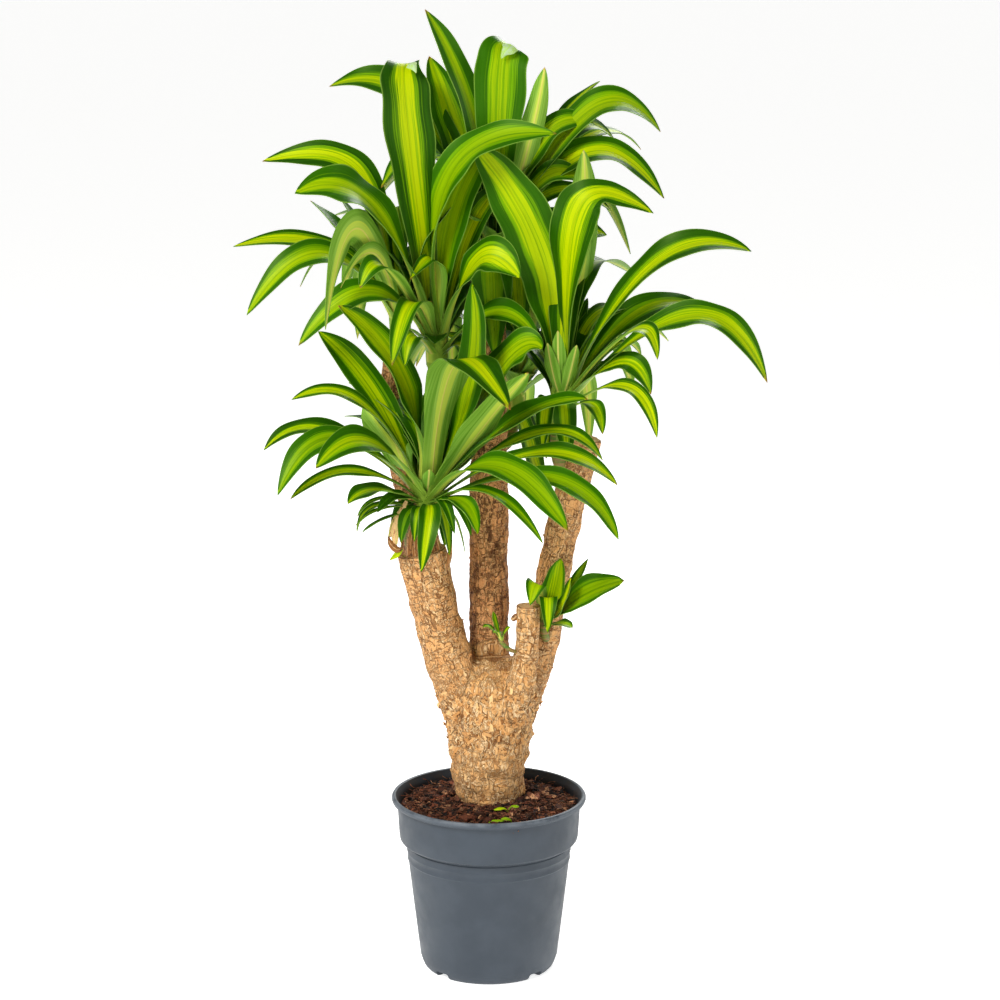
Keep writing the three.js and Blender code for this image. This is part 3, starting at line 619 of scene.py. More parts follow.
# ------------------------------------------------------------------ materials
def leaf_material(settings):
    """Upper face of a leaf: dark green margins and a lime stripe."""
    material, s, skin = new_material("leaf_face", Specular_IOR_Level=0.20, Specular_Tint=(0.75, 1.0, 0.3, 1))
    marks = s.group("leaf_pattern", Place=s.attribute("leaf_place"), Look=s.attribute("leaf_look"))
    lines = s.spread(marks["Lines"], 0.36, 0.64)
    margin = s.mix(s.math("MULTIPLY", marks["Tone"], 0.75), settings.margin_dark, settings.margin_light)
    margin = s.mix(s.math("MULTIPLY", lines, 0.35), margin, settings.margin_light)
    fringe = s.mix(s.math("MULTIPLY", marks["Fringe"], s.math("ADD", 0.5, s.math("MULTIPLY", lines, 0.45))),
                   margin, settings.fringe)
    core = s.mix(s.spread(marks["Lines"], 0.50, 0.38, 0.0, 0.8), settings.stripe, settings.fringe)
    power = s.spread(marks["Tone"], 0.15, 0.95, 1.0, 0.30)
    body = s.mix(s.math("MULTIPLY", marks["Stripe"], power), fringe, core)
    body = s.mix(s.math("MULTIPLY", marks["Foot"], 0.6), body, settings.foot)
    body = s.mix(s.math("MULTIPLY", marks["Rib"], 0.25), body, settings.margin_light)
    body = s.mix(s.math("MULTIPLY", marks["Edge"], 0.35), body, settings.under_light)
    body = s.mix(marks["Tip"], body, settings.dry)
    s.put(skin.inputs["Base Color"], body)
    s.put(skin.inputs["Roughness"], s.spread(marks["Lines"], 0.2, 0.8, 0.36, 0.48))
    height = s.math("SUBTRACT", marks["Lines"], s.math("MULTIPLY", marks["Rib"], 0.9))
    s.put(skin.inputs["Normal"], s.bump(height, 0.35, 0.0006))
    return material


def underside_material(settings):
    """Underside of a leaf, paler and duller, with a light rib."""
    material, s, skin = new_material("leaf_underside", Specular_IOR_Level=0.20,
                                     Specular_Tint=(0.85, 1.0, 0.6, 1))
    marks = s.group("leaf_pattern", Place=s.attribute("leaf_place"), Look=s.attribute("leaf_look"))
    lines = s.spread(marks["Lines"], 0.34, 0.66)
    body = s.mix(s.math("MULTIPLY", lines, 0.45), settings.under, settings.under_light)
    body = s.mix(s.math("MULTIPLY", marks["Fringe"], 0.55), body, settings.under_light)
    core = s.mix(s.spread(marks["Lines"], 0.48, 0.32, 0.0, 0.7), settings.under_stripe,
                 settings.under_light)
    body = s.mix(s.math("MULTIPLY", marks["Stripe"], 0.9), body, core)
    body = s.mix(s.math("MULTIPLY", marks["Foot"], 0.6), body, settings.foot)
    body = s.mix(s.math("MULTIPLY", marks["Rib"], 0.6), body, settings.rib)
    body = s.mix(marks["Tip"], body, settings.dry)
    s.put(skin.inputs["Base Color"], body)
    s.put(skin.inputs["Roughness"], s.spread(marks["Lines"], 0.2, 0.8, 0.50, 0.62))
    height = s.math("ADD", marks["Lines"], s.math("MULTIPLY", marks["Rib"], 0.9))
    s.put(skin.inputs["Normal"], s.bump(height, 0.4, 0.0006))
    return material


def papery_material(name, main, streak, dark):
    """Finish of dry sheaths and scales: streaks along the strip."""
    material, s, skin = new_material(name, Specular_IOR_Level=0.2)
    marks = s.group("leaf_pattern", Place=s.attribute("leaf_place"), Look=s.attribute("leaf_look"))
    grain = s.noise(s.place(), 0.22, 3.0, 0.6)
    body = s.mix(s.spread(marks["Lines"], 0.52, 0.66), main, streak)
    body = s.mix(s.spread(grain, 0.5, 0.36, 0.0, 0.75), body, dark)
    s.put(skin.inputs["Base Color"], body)
    s.put(skin.inputs["Roughness"], s.spread(grain, 0.3, 0.7, 0.55, 0.8))
    s.put(skin.inputs["Normal"], s.bump(s.math("ADD", grain, marks["Lines"]), 0.7, 0.0012))
    return material


def stem_material(settings):
    """Green skin of a shoot's stem with the rings of fallen leaves."""
    material, s, skin = new_material("shoot_stem", Specular_IOR_Level=0.3)
    place = s.place()
    rings = s.noise(s.vector("MULTIPLY", place, (0.03, 0.03, 0.42)), 1.0, 2.0, 0.6)
    fibre = s.noise(s.vector("MULTIPLY", place, (0.7, 0.7, 0.05)), 1.0, 2.0)
    body = s.mix(s.spread(rings, 0.42, 0.58), settings.stem, settings.stem_scar)
    body = s.mix(s.spread(fibre, 0.5, 0.8, 0.0, 0.5), body, settings.foot)
    s.put(skin.inputs["Base Color"], body)
    s.put(skin.inputs["Roughness"], s.spread(fibre, 0.2, 0.8, 0.5, 0.7))
    s.put(skin.inputs["Normal"], s.bump(s.math("ADD", rings, s.math("MULTIPLY", fibre, 0.4)), 0.6, 0.001))
    return material


def bark_material(settings):
    """Bark of the trunk, golden below and browner on some limbs, with sawn ends."""
    material, s, skin = new_material("bark", Specular_IOR_Level=0.2)
    tone, cut, lift = s.split(s.attribute("bark_look"))
    wild = s.split(s.attribute("bark_kind"))[0]
    place = s.attribute("bark_place")
    marks = s.group("bark_pattern", Place=place, Wild=wild)
    grain = s.spread(marks["Fibre"], 0.34, 0.66)
    area = s.spread(marks["Plate"], 0.36, 0.64)
    # The pale and tan colours on the raised fibres, and on the darker limbs' plates, are partly paler bark
    # and partly painted highlight.
    light = s.mix(s.math("MULTIPLY", grain, 0.5), settings.golden, settings.pale)
    light = s.mix(s.math("MULTIPLY", area, 0.55), light, settings.shade)
    dark = s.mix(s.math("MULTIPLY", grain, 0.6), settings.brown, settings.tan)
    dark = s.mix(s.math("MULTIPLY", area, 0.5), dark, settings.tan)
    body = s.mix(tone, light, dark)
    # painted shade: hollow and crevice are laid into the low fibres, the creases and the low relief, together
    # with the darker bark in the cracks
    hollow = s.mix(tone, settings.hollow, settings.crevice)
    # painted highlight: the curl colour, or pale on the darker limbs, is laid on the lit edge beside each
    # crease
    painted_highlight = s.mix(tone, settings.curl, settings.pale)
    body = s.mix(s.spread(marks["Fibre"], 0.42, 0.28, 0.0, 0.5), body, hollow)
    body = s.mix(s.math("MULTIPLY", marks["Lit"], s.spread(tone, 0.1, 0.9, 0.75, 0.45)), body, painted_highlight)
    body = s.mix(s.math("MULTIPLY", marks["Crease"], 0.85), body, hollow)
    body = s.mix(s.math("MULTIPLY", marks["Ring"], 0.75), body, hollow)
    # painted shade: the third bark_look value is low where the relief sinks and between the limbs
    body = s.mix(s.spread(lift, 0.44, 0.10, 0.0, 0.85), body, hollow)
    x, y, _ = s.split(place)
    ring = s.math("SINE", s.math("MULTIPLY", s.vector("LENGTH", s.join(x, y, 0.0)), 2.6))
    sawn = s.mix(s.spread(ring, -1.0, 1.0, 0.0, 0.30), settings.sawn, settings.shade)
    sawn = s.mix(s.spread(s.noise(s.join(x, y, 0.0), 0.35, 4.0, 0.65), 0.42, 0.62, 0.0, 0.6), sawn,
                 settings.golden)
    body = s.mix(cut, body, sawn)
    rim = s.math("MULTIPLY", s.spread(cut, 0.05, 0.35), s.spread(cut, 0.95, 0.6))
    body = s.mix(s.math("MULTIPLY", rim, 0.8), body, hollow)
    s.put(skin.inputs["Base Color"], body)
    s.put(skin.inputs["Roughness"], s.spread(marks["Fibre"], 0.2, 0.8, 0.62, 0.85))
    s.put(skin.inputs["Normal"], s.bump(marks["Height"], 0.85, 0.0028))
    return material


def flake_material(settings):
    """Dry lifted flakes, shaded like the bark they stand on."""
    material, s, skin = new_material("bark_flake", Specular_IOR_Level=0.2)
    tone, light, _ = s.split(s.attribute("flake_look"))
    place = s.place()
    fibre = s.noise(s.vector("MULTIPLY", place, (0.8, 0.8, 0.16)), 1.0, 3.0, 0.6)
    pale = s.mix(light, settings.shade, settings.pale)
    dark = s.mix(light, settings.brown, settings.tan)
    body = s.mix(tone, pale, dark)
    # painted shade: the hollow colour is laid into the low fibres of each flake
    body = s.mix(s.spread(fibre, 0.50, 0.3, 0.0, 0.5), body, settings.hollow)
    s.put(skin.inputs["Base Color"], body)
    s.put(skin.inputs["Roughness"], s.spread(fibre, 0.2, 0.8, 0.62, 0.82))
    s.put(skin.inputs["Normal"], s.bump(fibre, 0.6, 0.0008))
    return material


def litter_material(name, settings, spots):
    """Finish of the soil's chips and fibres; every piece has a shade of its own."""
    material, s, skin = new_material(name, Specular_IOR_Level=0.25)
    dark, light, own = s.split(s.attribute("litter_look"))
    place = s.place()
    grain = s.noise(place, 0.5, 4.0, 0.65)
    body = s.mix(dark, settings.peat, settings.rust)
    body = s.mix(light, body, settings.chip)
    body = s.mix(s.spread(own, 0.66, 0.14, 0.0, 1.0), body, settings.wet)
    body = s.mix(s.spread(grain, 0.54, 0.38, 0.0, 0.8), body, settings.wet)
    if spots:
        body = s.mix(s.spread(s.noise(place, 1.3, 2.0, 0.7), 0.62, 0.74, 0.0, 0.5), body, settings.chip)
    s.put(skin.inputs["Base Color"], body)
    s.put(skin.inputs["Roughness"], s.spread(grain, 0.3, 0.7, 0.72, 0.95))
    s.put(skin.inputs["Normal"], s.bump(grain, 0.7, 0.0012))
    return material


def pot_material(settings):
    """Slate plastic with scuffs on the foot, a lighter mottled top to the rim, and an inner wall laid dark as
    painted shade with soil stains.
    """
    material, s, skin = new_material("pot_plastic", Specular_IOR_Level=0.36)
    place = s.place()
    x, y, z = s.split(place)
    marks = s.group("speckle_pattern", Place=place, Size=1.0)
    flow = s.noise(place, 0.022, 3.0, 0.55)
    body = s.mix(s.spread(flow, 0.35, 0.70), settings.slate, settings.slate_light)
    rub = s.math("MULTIPLY", marks["Specks"], s.spread(z, 40, 0, 0.06, 0.4))
    body = s.mix(rub, body, settings.dust)
    # the top of the rim is made lighter with the dust colour, mottled by the cloud pattern
    rim = s.spread(z, 213, 219, 0.0, 0.40)
    body = s.mix(s.math("MULTIPLY", rim, s.spread(marks["Cloud"], 0.3, 0.6)), body, settings.dust)
    # painted shade: the inner wall above the soil is laid dark, mottled with soil stains
    wall = s.math("ADD", s.math("ADD", 99.2, s.math("MULTIPLY", z, 0.06)), s.spread(z, 209, 213, 0.0, 2.8))
    reach = s.math("SUBTRACT", s.vector("LENGTH", s.join(x, y, 0.0)), wall)
    inside = s.math("MULTIPLY", s.spread(reach, 0.3, -0.3), s.spread(z, 168, 172))
    inner_shade_and_stains = s.mix(s.spread(marks["Cloud"], 0.4, 0.65), settings.inside, settings.soiled)
    body = s.mix(inside, body, inner_shade_and_stains)
    s.put(skin.inputs["Base Color"], body)
    s.put(skin.inputs["Roughness"], s.spread(marks["Cloud"], 0.3, 0.7, 0.44, 0.56))
    height = s.math("ADD", s.math("MULTIPLY", marks["Grain"], 0.4), s.math("MULTIPLY", flow, 0.6))
    s.put(skin.inputs["Normal"], s.bump(height, 0.18, 0.0004))
    return material


def floor_material(settings):
    """Pale floor that gives a little light itself."""
    return new_material("studio_floor", Base_Color=settings.floor, Roughness=0.8, Specular_IOR_Level=0.05,
                        Emission_Color=settings.floor, Emission_Strength=settings.glow)[0]


# ------------------------------------------------------------------- settings
class PotSettings(bpy.types.PropertyGroup):
    """Colours of the nursery pot."""
    slate: colour_of("Plastic", "363E47", "Main colour of the pot")
    slate_light: colour_of("Plastic, light", "3C444D", "Cloudy lighter places in the plastic")
    # dust also lays a lighter mottled band on the top of the rim
    dust: colour_of("Dust", "868D94", "Scuffs and dust on the rim and the foot")
    # painted shade: inside is the dark of the inner wall above the soil; soiled mottles it as stains
    inside: colour_of("Inside", "1E242A", "Inner wall above the soil")
    soiled: colour_of("Soiled", "2A2624", "Soil stains on the inner wall")
    turns: IntProperty(name="Sides", description="Segments round the pot", default=POT_TURNS, min=48, max=256)


class SoilSettings(bpy.types.PropertyGroup):
    """Colours and amounts of the potting soil."""
    peat: colour_of("Peat", "38190F", "Dark peat")
    rust: colour_of("Rust", "8A4A30", "Reddish bark bits")
    chip: colour_of("Pale chips", "D39A6E", "The palest chips and fibres")
    wet: colour_of("Damp", "160C07", "Damp hollows between the bits")
    chips: IntProperty(name="Chips", description="Number of bark chips", default=1900, min=0, max=4000)
    fibres: IntProperty(name="Fibres", description="Number of loose fibres", default=2100, min=0, max=3000)


class BarkSettings(bpy.types.PropertyGroup):
    """Colours and amounts of the bark."""
    golden: colour_of("Golden", "DAA060", "Lower trunk")
    # pale and tan are paler bark and also painted highlight, on raised places and lit edges
    pale: colour_of("Pale", "EEC488", "Raised places on the lower trunk")
    brown: colour_of("Brown", "C07E4A", "Darker limbs")
    tan: colour_of("Tan", "DCA066", "Raised places on the darker limbs")
    shade: colour_of("Shade", "C68E52", "Duller plates of the lower trunk")
    # painted shade: hollow and crevice are the dark laid into creases, low fibres and low relief, with the
    # darker bark in the cracks
    hollow: colour_of("Hollow", "7C4A1E", "Between the fibres of the lower trunk")
    crevice: colour_of("Crevice", "4A2A14", "Cracks in the darker limbs")
    sawn: colour_of("Sawn", "D2A878", "Cut ends of the canes")
    # painted highlight: curl is the pale laid on the lit edges beside the creases
    curl: colour_of("Curls", "F6DCAE", "Lifted curls of dry bark")
    voxel: FloatProperty(name="Voxel", description="Mesh size of the trunk", default=1.96 * MM, min=1.2 * MM,
                         max=6 * MM, unit="LENGTH")
    flakes: IntProperty(name="Flakes", description="Number of lifted bark flakes", default=700, min=0,
                        max=6000)


class LeafSettings(bpy.types.PropertyGroup):
    """Colours and fineness of the leaves."""
    margin_dark: colour_of("Margin, dark", "123A00", "Dark green margins")
    margin_light: colour_of("Margin, light", "2F6600", "Lighter green margins")
    fringe: colour_of("Fringe", "6C9C00", "Green beside and inside the stripe")
    stripe: colour_of("Stripe", "B2C200", "Lime yellow middle stripe")
    foot: colour_of("Foot", "93AE34", "Pale foot of a leaf")
    dry: colour_of("Dry tip", "A0562A", "Dry tips")
    under: colour_of("Underside", "56861C", "Underside")
    under_light: colour_of("Underside, light", "9ABE4C", "Lighter lines of the underside")
    under_stripe: colour_of("Underside stripe", "BCCC48", "Stripe seen from below")
    rib: colour_of("Rib", "D8C46A", "Pale rib under a leaf")
    stem: colour_of("Stem", "4C6A20", "Green skin of a stem")
    stem_scar: colour_of("Leaf scars", "8A6B3E", "Rings left by fallen leaves")
    papery: colour_of("Papery", "DDB27C", "Dry papery sheaths")
    # painted sheen: fold is the whitish pale of the folded tips, over the paler back of the leaf
    fold: colour_of("Fold", "A8C08E", "Pale backs of folded tips")
    scale: colour_of("Old scales", "8C5A2C", "Old brown scales round the stems")
    burnt: colour_of("Burnt", "3C2010", "Darkest places of the old scales")
    thick: FloatProperty(name="Thickness", description="Thickness of a blade", default=0.9 * MM, min=0.6 * MM,
                         max=2 * MM, unit="LENGTH")
    along: IntProperty(name="Steps along", description="Faces along a blade", default=46, min=12, max=80)
    across: IntProperty(name="Steps across", description="Faces across a blade", default=12, min=4, max=24)


class StageSettings(bpy.types.PropertyGroup):
    """Floor, lights and camera."""
    floor: colour_of("Floor", "F6F6F5", "Pale studio floor")
    glow: FloatProperty(name="Floor glow", description="Light the floor itself gives", default=0.81, min=0,
                        max=1)
    key: FloatProperty(name="Key light", description="Power of the large front light", default=122.0, min=0,
                       unit="POWER")
    sky: FloatProperty(name="Sky", description="Strength of the even light from all sides", default=0.18,
                       min=0)
    lens: FloatProperty(name="Lens", description="Focal length of the camera", default=103.46, min=10,
                        unit="CAMERA")


# ------------------------------------------------------------------------ pot
def spun(profile, turns):
    """A profile of radius and height spun round the vertical axis into a closed body."""
    bm = bmesh.new()
    points = [bm.verts.new((r * MM, 0, z * MM)) for r, z in profile]
    edges = [bm.edges.new(pair) for pair in zip(points, points[1:])]
    bmesh.ops.spin(bm, geom=points + edges, cent=(0, 0, 0), axis=(0, 0, 1), angle=2 * math.pi,
                   steps=turns, use_merge=True)
    bmesh.ops.remove_doubles(bm, verts=bm.verts, dist=1e-5)
    bmesh.ops.recalc_face_normals(bm, faces=bm.faces)
    return bm


def cut_notch(cutter, turn):
    """Adds the block, round at its upper corners, that cuts one notch into the foot."""
    made = bmesh.ops.create_cube(cutter, size=1.0)["verts"]
    depth, width, height = (POT_NOTCH[key] * MM for key in ("depth", "width", "height"))
    size = Matrix.Diagonal((depth, width, 2 * height, 1))
    place = Matrix.Rotation(math.radians(turn), 4, "Z")
    place = place @ Matrix.Translation((POT_NOTCH["radius"] * MM, 0, 0))
    bmesh.ops.transform(cutter, matrix=place @ size, verts=made)
    inward = place.to_3x3() @ Vector((1, 0, 0))
    corners = []
    for edge in once(e for v in made for e in v.link_edges):
        a, b = edge.verts
        level = abs((a.co - b.co).z) < 1e-5
        if level and min(a.co.z, b.co.z) > 0 and abs((a.co - b.co).normalized().dot(inward)) > 0.9:
            corners.append(edge)
    bmesh.ops.bevel(cutter, geom=corners, offset=POT_NOTCH["corner"] * MM, segments=4, profile=0.5,
                    affect="EDGES", material=-1)


class CORN_OT_pot(bpy.types.Operator):
    """Make the nursery pot with its rolled rim, banded shoulder, foot notches and drain holes"""
    bl_idname = "corn_plant.pot"
    bl_label = "Pot"

    def execute(self, context):
        settings = context.scene.corn_pot
        body = loose_piece(spun(POT_PROFILE, settings.turns), "pot_blank")
        cutter = bmesh.new()
        for turn in POT_NOTCH_TURNS:
            cut_notch(cutter, turn)
        radius, circle = POT_DRAIN["radius"] * MM, POT_DRAIN["circle"] * MM
        for i in range(POT_DRAIN["count"]):
            turn = (i + 0.5) / POT_DRAIN["count"] * 2 * math.pi
            made = bmesh.ops.create_cone(cutter, cap_ends=True, segments=24, radius1=radius, radius2=radius,
                                         depth=POT_DRAIN["depth"] * MM)["verts"]
            bmesh.ops.translate(cutter, verts=made, vec=(math.cos(turn) * circle, math.sin(turn) * circle, 0))
        tool = loose_piece(cutter, "pot_cutter")
        cut = body.modifiers.new("cut", "BOOLEAN")
        cut.operation, cut.solver, cut.object = "DIFFERENCE", "EXACT", tool
        apply_modifiers(body)
        bm = bmesh.new()
        bm.from_mesh(body.data)
        drop(body)
        drop(tool)
        finish_piece(bm, "pot_shell", [pot_material(settings)], "pot", sharp=22)
        return {"FINISHED"}


# ----------------------------------------------------------------------- soil
def soil_top(r, a):
    """Height of the soil's uneven top, in millimetres."""
    i = next((k for k, row in enumerate(SOIL_RINGS) if row[0] >= r), len(SOIL_RINGS) - 1)
    (r0, z0), (r1, z1) = SOIL_RINGS[max(i, 1) - 1], SOIL_RINGS[max(i, 1)]
    t = clamp((r - r0) / (r1 - r0), 0, 1.2)
    return z0 + (z1 - z0) * t + SOIL_ROUGH * ripple(a * 2, r * 0.11)


class CORN_OT_soil(bpy.types.Operator):
    """Make the bed of potting soil that fills the pot"""
    bl_idname = "corn_plant.soil"
    bl_label = "Soil bed"

    def execute(self, context):
        settings = context.scene.corn_soil
        top = [(r, SOIL_FLAT) for r in np.linspace(30, 109.2, 46)[::-1]]
        bm = spun(SOIL_UNDER + top + [(0, SOIL_FLAT)], SOIL_TURNS)
        look = bm.verts.layers.float_vector.new("litter_look")
        for v in bm.verts:
            r, a = math.hypot(v.co.x, v.co.y) / MM, math.atan2(v.co.y, v.co.x)
            v[look] = (0.25, 0.0, 0.5)
            if v.co.z > (SOIL_FLAT - 1) * MM and r > 1:
                spot = v.co / MM
                rough = noise.fractal(spot * 0.09, 0.8, 2.0, 4) * 1.6
                rough += noise.fractal(spot * 0.35, 0.8, 2.0, 3)
                v.co.z = (soil_top(r, a) - 0.6 + rough * clamp((111 - r) / 6)) * MM
                v[look] = (clamp(0.35 + 0.5 * noise.noise(spot * 0.12)), 0.0, 0.5)
        finish_piece(bm, "soil_bed", [litter_material("soil_peat", settings, True)], "soil", sharp=60)
        return {"FINISHED"}


def scatter(name, shapes, spots, layer_name, material, sharp=30):
    """One piece of many small copies. A spot is a placing matrix with a look of three numbers."""
    bm = bmesh.new()
    look = bm.verts.layers.float_vector.new(layer_name)
    for k, (matrix, values) in enumerate(spots):
        first = len(bm.verts)
        bm.from_mesh(shapes[k % len(shapes)])
        bm.verts.ensure_lookup_table()
        for v in bm.verts[first:]:
            v.co = matrix @ v.co
            v[look] = values
    finish_piece(bm, name, [material], sharp=sharp)
    for shape in shapes:
        bpy.data.meshes.remove(shape)


def chip_shape(draw):
    """A splinter of bark about one unit long, with knocked-off corners."""
    bm = bmesh.new()
    made = bmesh.ops.create_cube(bm, size=1.0)["verts"]
    bmesh.ops.scale(bm, verts=made, vec=(draw.uniform(0.35, 0.75), 1.0, draw.uniform(0.16, 0.34)))
    for v in made:
        v.co += Vector([draw.uniform(-0.13, 0.13) for _ in range(3)])
    bmesh.ops.bevel(bm, geom=bm.edges[:], offset=0.05, segments=1, profile=0.5, affect="EDGES", material=-1)
    return mesh_of(bm, "chip_shape")


def fibre_shape(draw):
    """A bent fibre about one unit long, three-sided."""
    bm = bmesh.new()
    ring = bmesh.ops.create_circle(bm, segments=3, radius=0.035, cap_ends=True)["verts"]
    edges = once(e for v in ring for e in v.link_edges)
    heading, curl, steps = Vector((1, 0, 0)), draw.uniform(-0.5, 0.5), 6
    bmesh.ops.rotate(bm, verts=ring, cent=(0, 0, 0), matrix=Matrix.Rotation(math.pi / 2, 3, "Y"))
    bmesh.ops.translate(bm, verts=ring, vec=(-0.5, 0, 0))
    for _ in range(steps):
        made = bmesh.ops.extrude_edge_only(bm, edges=edges)["geom"]
        ring = [g for g in made if isinstance(g, bmesh.types.BMVert)]
        edges = [g for g in made if isinstance(g, bmesh.types.BMEdge)]
        heading = (Matrix.Rotation(curl + draw.uniform(-0.25, 0.25), 3, "Z")
                   @ Matrix.Rotation(draw.uniform(-0.12, 0.12), 3, "Y") @ heading)
        bmesh.ops.translate(bm, verts=ring, vec=heading / steps)
    bmesh.ops.contextual_create(bm, geom=edges)
    bmesh.ops.recalc_face_normals(bm, faces=bm.faces)
    return mesh_of(bm, "fibre_shape")


def lying(draw, size, tilt, lift, inner, outer):
    """A matrix that lays a small shape of one unit on the soil, between two radii."""
    r = math.sqrt(draw.uniform(inner ** 2, outer ** 2))
    a = draw.uniform(-math.pi, math.pi)
    turn = Matrix.Rotation(draw.uniform(0, 2 * math.pi), 4, "Z")
    turn = turn @ Matrix.Rotation(draw.gauss(0, tilt), 4, "X")
    turn = turn @ Matrix.Rotation(draw.gauss(0, tilt), 4, "Y")
    spot = Vector((math.cos(a) * r, math.sin(a) * r, soil_top(r, a) + lift)) * MM
    return Matrix.Translation(spot) @ turn @ Matrix.Scale(size * MM, 4)


class CORN_OT_litter(bpy.types.Operator):
    """Scatter bark chips and loose fibres over the soil"""
    bl_idname = "corn_plant.litter"
    bl_label = "Chips and fibres"

    def execute(self, context):
        settings = context.scene.corn_soil
        draw = random.Random(LITTER_SEED)
        spots = []
        for k in range(settings.chips):
            size = draw.choice((3.5, 5.0, 7.0, 10.0)) * draw.uniform(0.7, 1.3) * (2.0 if k % 45 == 0 else 1.0)
            inner, outer = TRUNK_AT_SOIL + 1.5 + size * 0.2, LITTER_EDGE - size * 0.45
            light = draw.uniform(0.5, 1.0) if draw.random() < 0.17 else draw.uniform(0, 0.14)
            spots.append((lying(draw, size, 0.45, draw.uniform(-0.4, 1.5), inner, outer),
                          (draw.random() ** 1.4, light, draw.random())))
        scatter("soil_chips", [chip_shape(draw) for _ in range(14)], spots, "litter_look",
                litter_material("bark_chips", settings, False))
        spots = []
        for k in range(settings.fibres):
            size = draw.uniform(7, 19)
            light = draw.uniform(0.4, 0.8) if draw.random() < 0.12 else draw.uniform(0, 0.25)
            inner, outer = TRUNK_AT_SOIL + size * 0.42, LITTER_EDGE - size * 0.42
            spots.append((lying(draw, size, 0.17, draw.uniform(0.6, 2.4), inner, outer),
                          (draw.uniform(0.2, 1.0), light, draw.random())))
        scatter("soil_fibres", [fibre_shape(draw) for _ in range(18)], spots, "litter_look",
                litter_material("coir_fibres", settings, False), sharp=180)
        return {"FINISHED"}


# ---------------------------------------------------------------------- trunk
def tube_along(bm, rows, sides, swell, seed, step=4.0):
    """A closed tube through rows of x, y, z, radius, grown ring by ring."""
    turn = bm.verts.layers.float.get("turn") or bm.verts.layers.float.new("turn")
    length = sum((Vector(a[:3]) - Vector(b[:3])).length for a, b in zip(rows, rows[1:]))
    count = max(len(rows), int(length / step))
    ring = bmesh.ops.create_circle(bm, segments=sides, radius=1.0, cap_ends=True)["verts"]
    bmesh.ops.reverse_faces(bm, faces=once(f for v in ring for f in v.link_faces))
    for v in ring:
        v[turn] = math.atan2(v.co.y, v.co.x)
    edges = once(e for v in ring for e in v.link_edges)
    for k in range(count + 1):
        if k:
            made = bmesh.ops.extrude_edge_only(bm, edges=edges)["geom"]
            ring = [g for g in made if isinstance(g, bmesh.types.BMVert)]
            edges = [g for g in made if isinstance(g, bmesh.types.BMEdge)]
        t = k / count * (len(rows) - 1)
        x, y, z, radius = through(rows, t)
        ahead = Vector(through(rows, min(t + 0.2, len(rows) - 1))[:3])
        heading = (ahead - Vector(through(rows, max(t - 0.2, 0))[:3])).normalized()
        side = (Vector((1, 0, 0)) - heading * heading.x).normalized()
        front = heading.cross(side)
        for v in ring:
            a = v[turn]
            r = radius * (1 + swell * 2 * ripple(a + seed, t * 1.7 + seed))
            v.co = (Vector((x, y, z)) + side * math.cos(a) * r + front * math.sin(a) * r) * MM
    bmesh.ops.contextual_create(bm, geom=edges)


def limb_samples():
    """Points along every limb's middle line: x, y, z, radius, way along, limb."""
    samples = []
    for number, rows in enumerate(TRUNK):
        along, last = 0.0, Vector(rows[0][:3])
        for k in range(40 * (len(rows) - 1) + 1):
            x, y, z, radius = through(rows, k / 40)
            along += (Vector((x, y, z)) - last).length
            last = Vector((x, y, z))
            samples.append((x, y, z, radius, along, number))
    return np.array(samples)


def limb_places(points):
    """For points in mm: the nearest limb, the offset from its middle line and the way along it."""
    samples = limb_samples()
    best = np.full(len(points), 1e9)
    nearest = np.zeros(len(points), int)
    for first in range(0, len(samples), 60):
        part = samples[first:first + 60]
        gap = np.linalg.norm(points[:, None, :] - part[None, :, :3], axis=2) / part[None, :, 3]
        low = gap.argmin(1)
        value = gap[np.arange(len(points)), low]
        better = value < best
        best[better], nearest[better] = value[better], low[better] + first
    chosen = samples[nearest]
    return chosen[:, 5].astype(int), points - chosen[:, :3], chosen[:, 4], nearest


def bark_relief(place, spot, flaky, plated, fork):
    """Height of the bark over the plain limb in millimetres: lumps, fibres, wrinkles, curls and knobs."""
    bent = place + noise.noise_vector(place * 0.10) * 3.0
    height = noise.fractal(spot * 0.05, 0.9, 2.0, 2) * 0.75
    height += noise.fractal(Vector((bent.x * 0.22, bent.y * 0.22, bent.z * 0.05)), 0.8, 2.0, 2) * 0.36
    height += noise.noise(Vector((bent.x * 0.05, bent.y * 0.05, bent.z * 0.26))) * 0.35
    ridge = 1 - min(1.0, abs(noise.noise(bent * 0.21)) * 5)
    height += ridge * ridge * 0.5 * flaky
    fold = 1 - min(1.0, abs(noise.noise(place * 0.085 + noise.noise_vector(place * 0.05) * 1.2)) * 3.6)
    height += (fold * fold * 1.9 - 0.5) * fork
    if plated > 0.3:
        near, points = noise.voronoi(Vector((bent.x, bent.y, bent.z * 0.38)) / 5.6)
        height -= (1 - smooth(clamp((near[1] - near[0]) / 0.3))) * 0.8 * plated
        height += noise.cell(points[0] * 3.1) * 0.5 * plated
    for x, y, z, size, rise in TRUNK_KNOBS:
        gap = (spot - Vector((x, y, z))).length / size
        if gap < 2.2:
            height += rise * math.exp(-gap * gap)
    return height


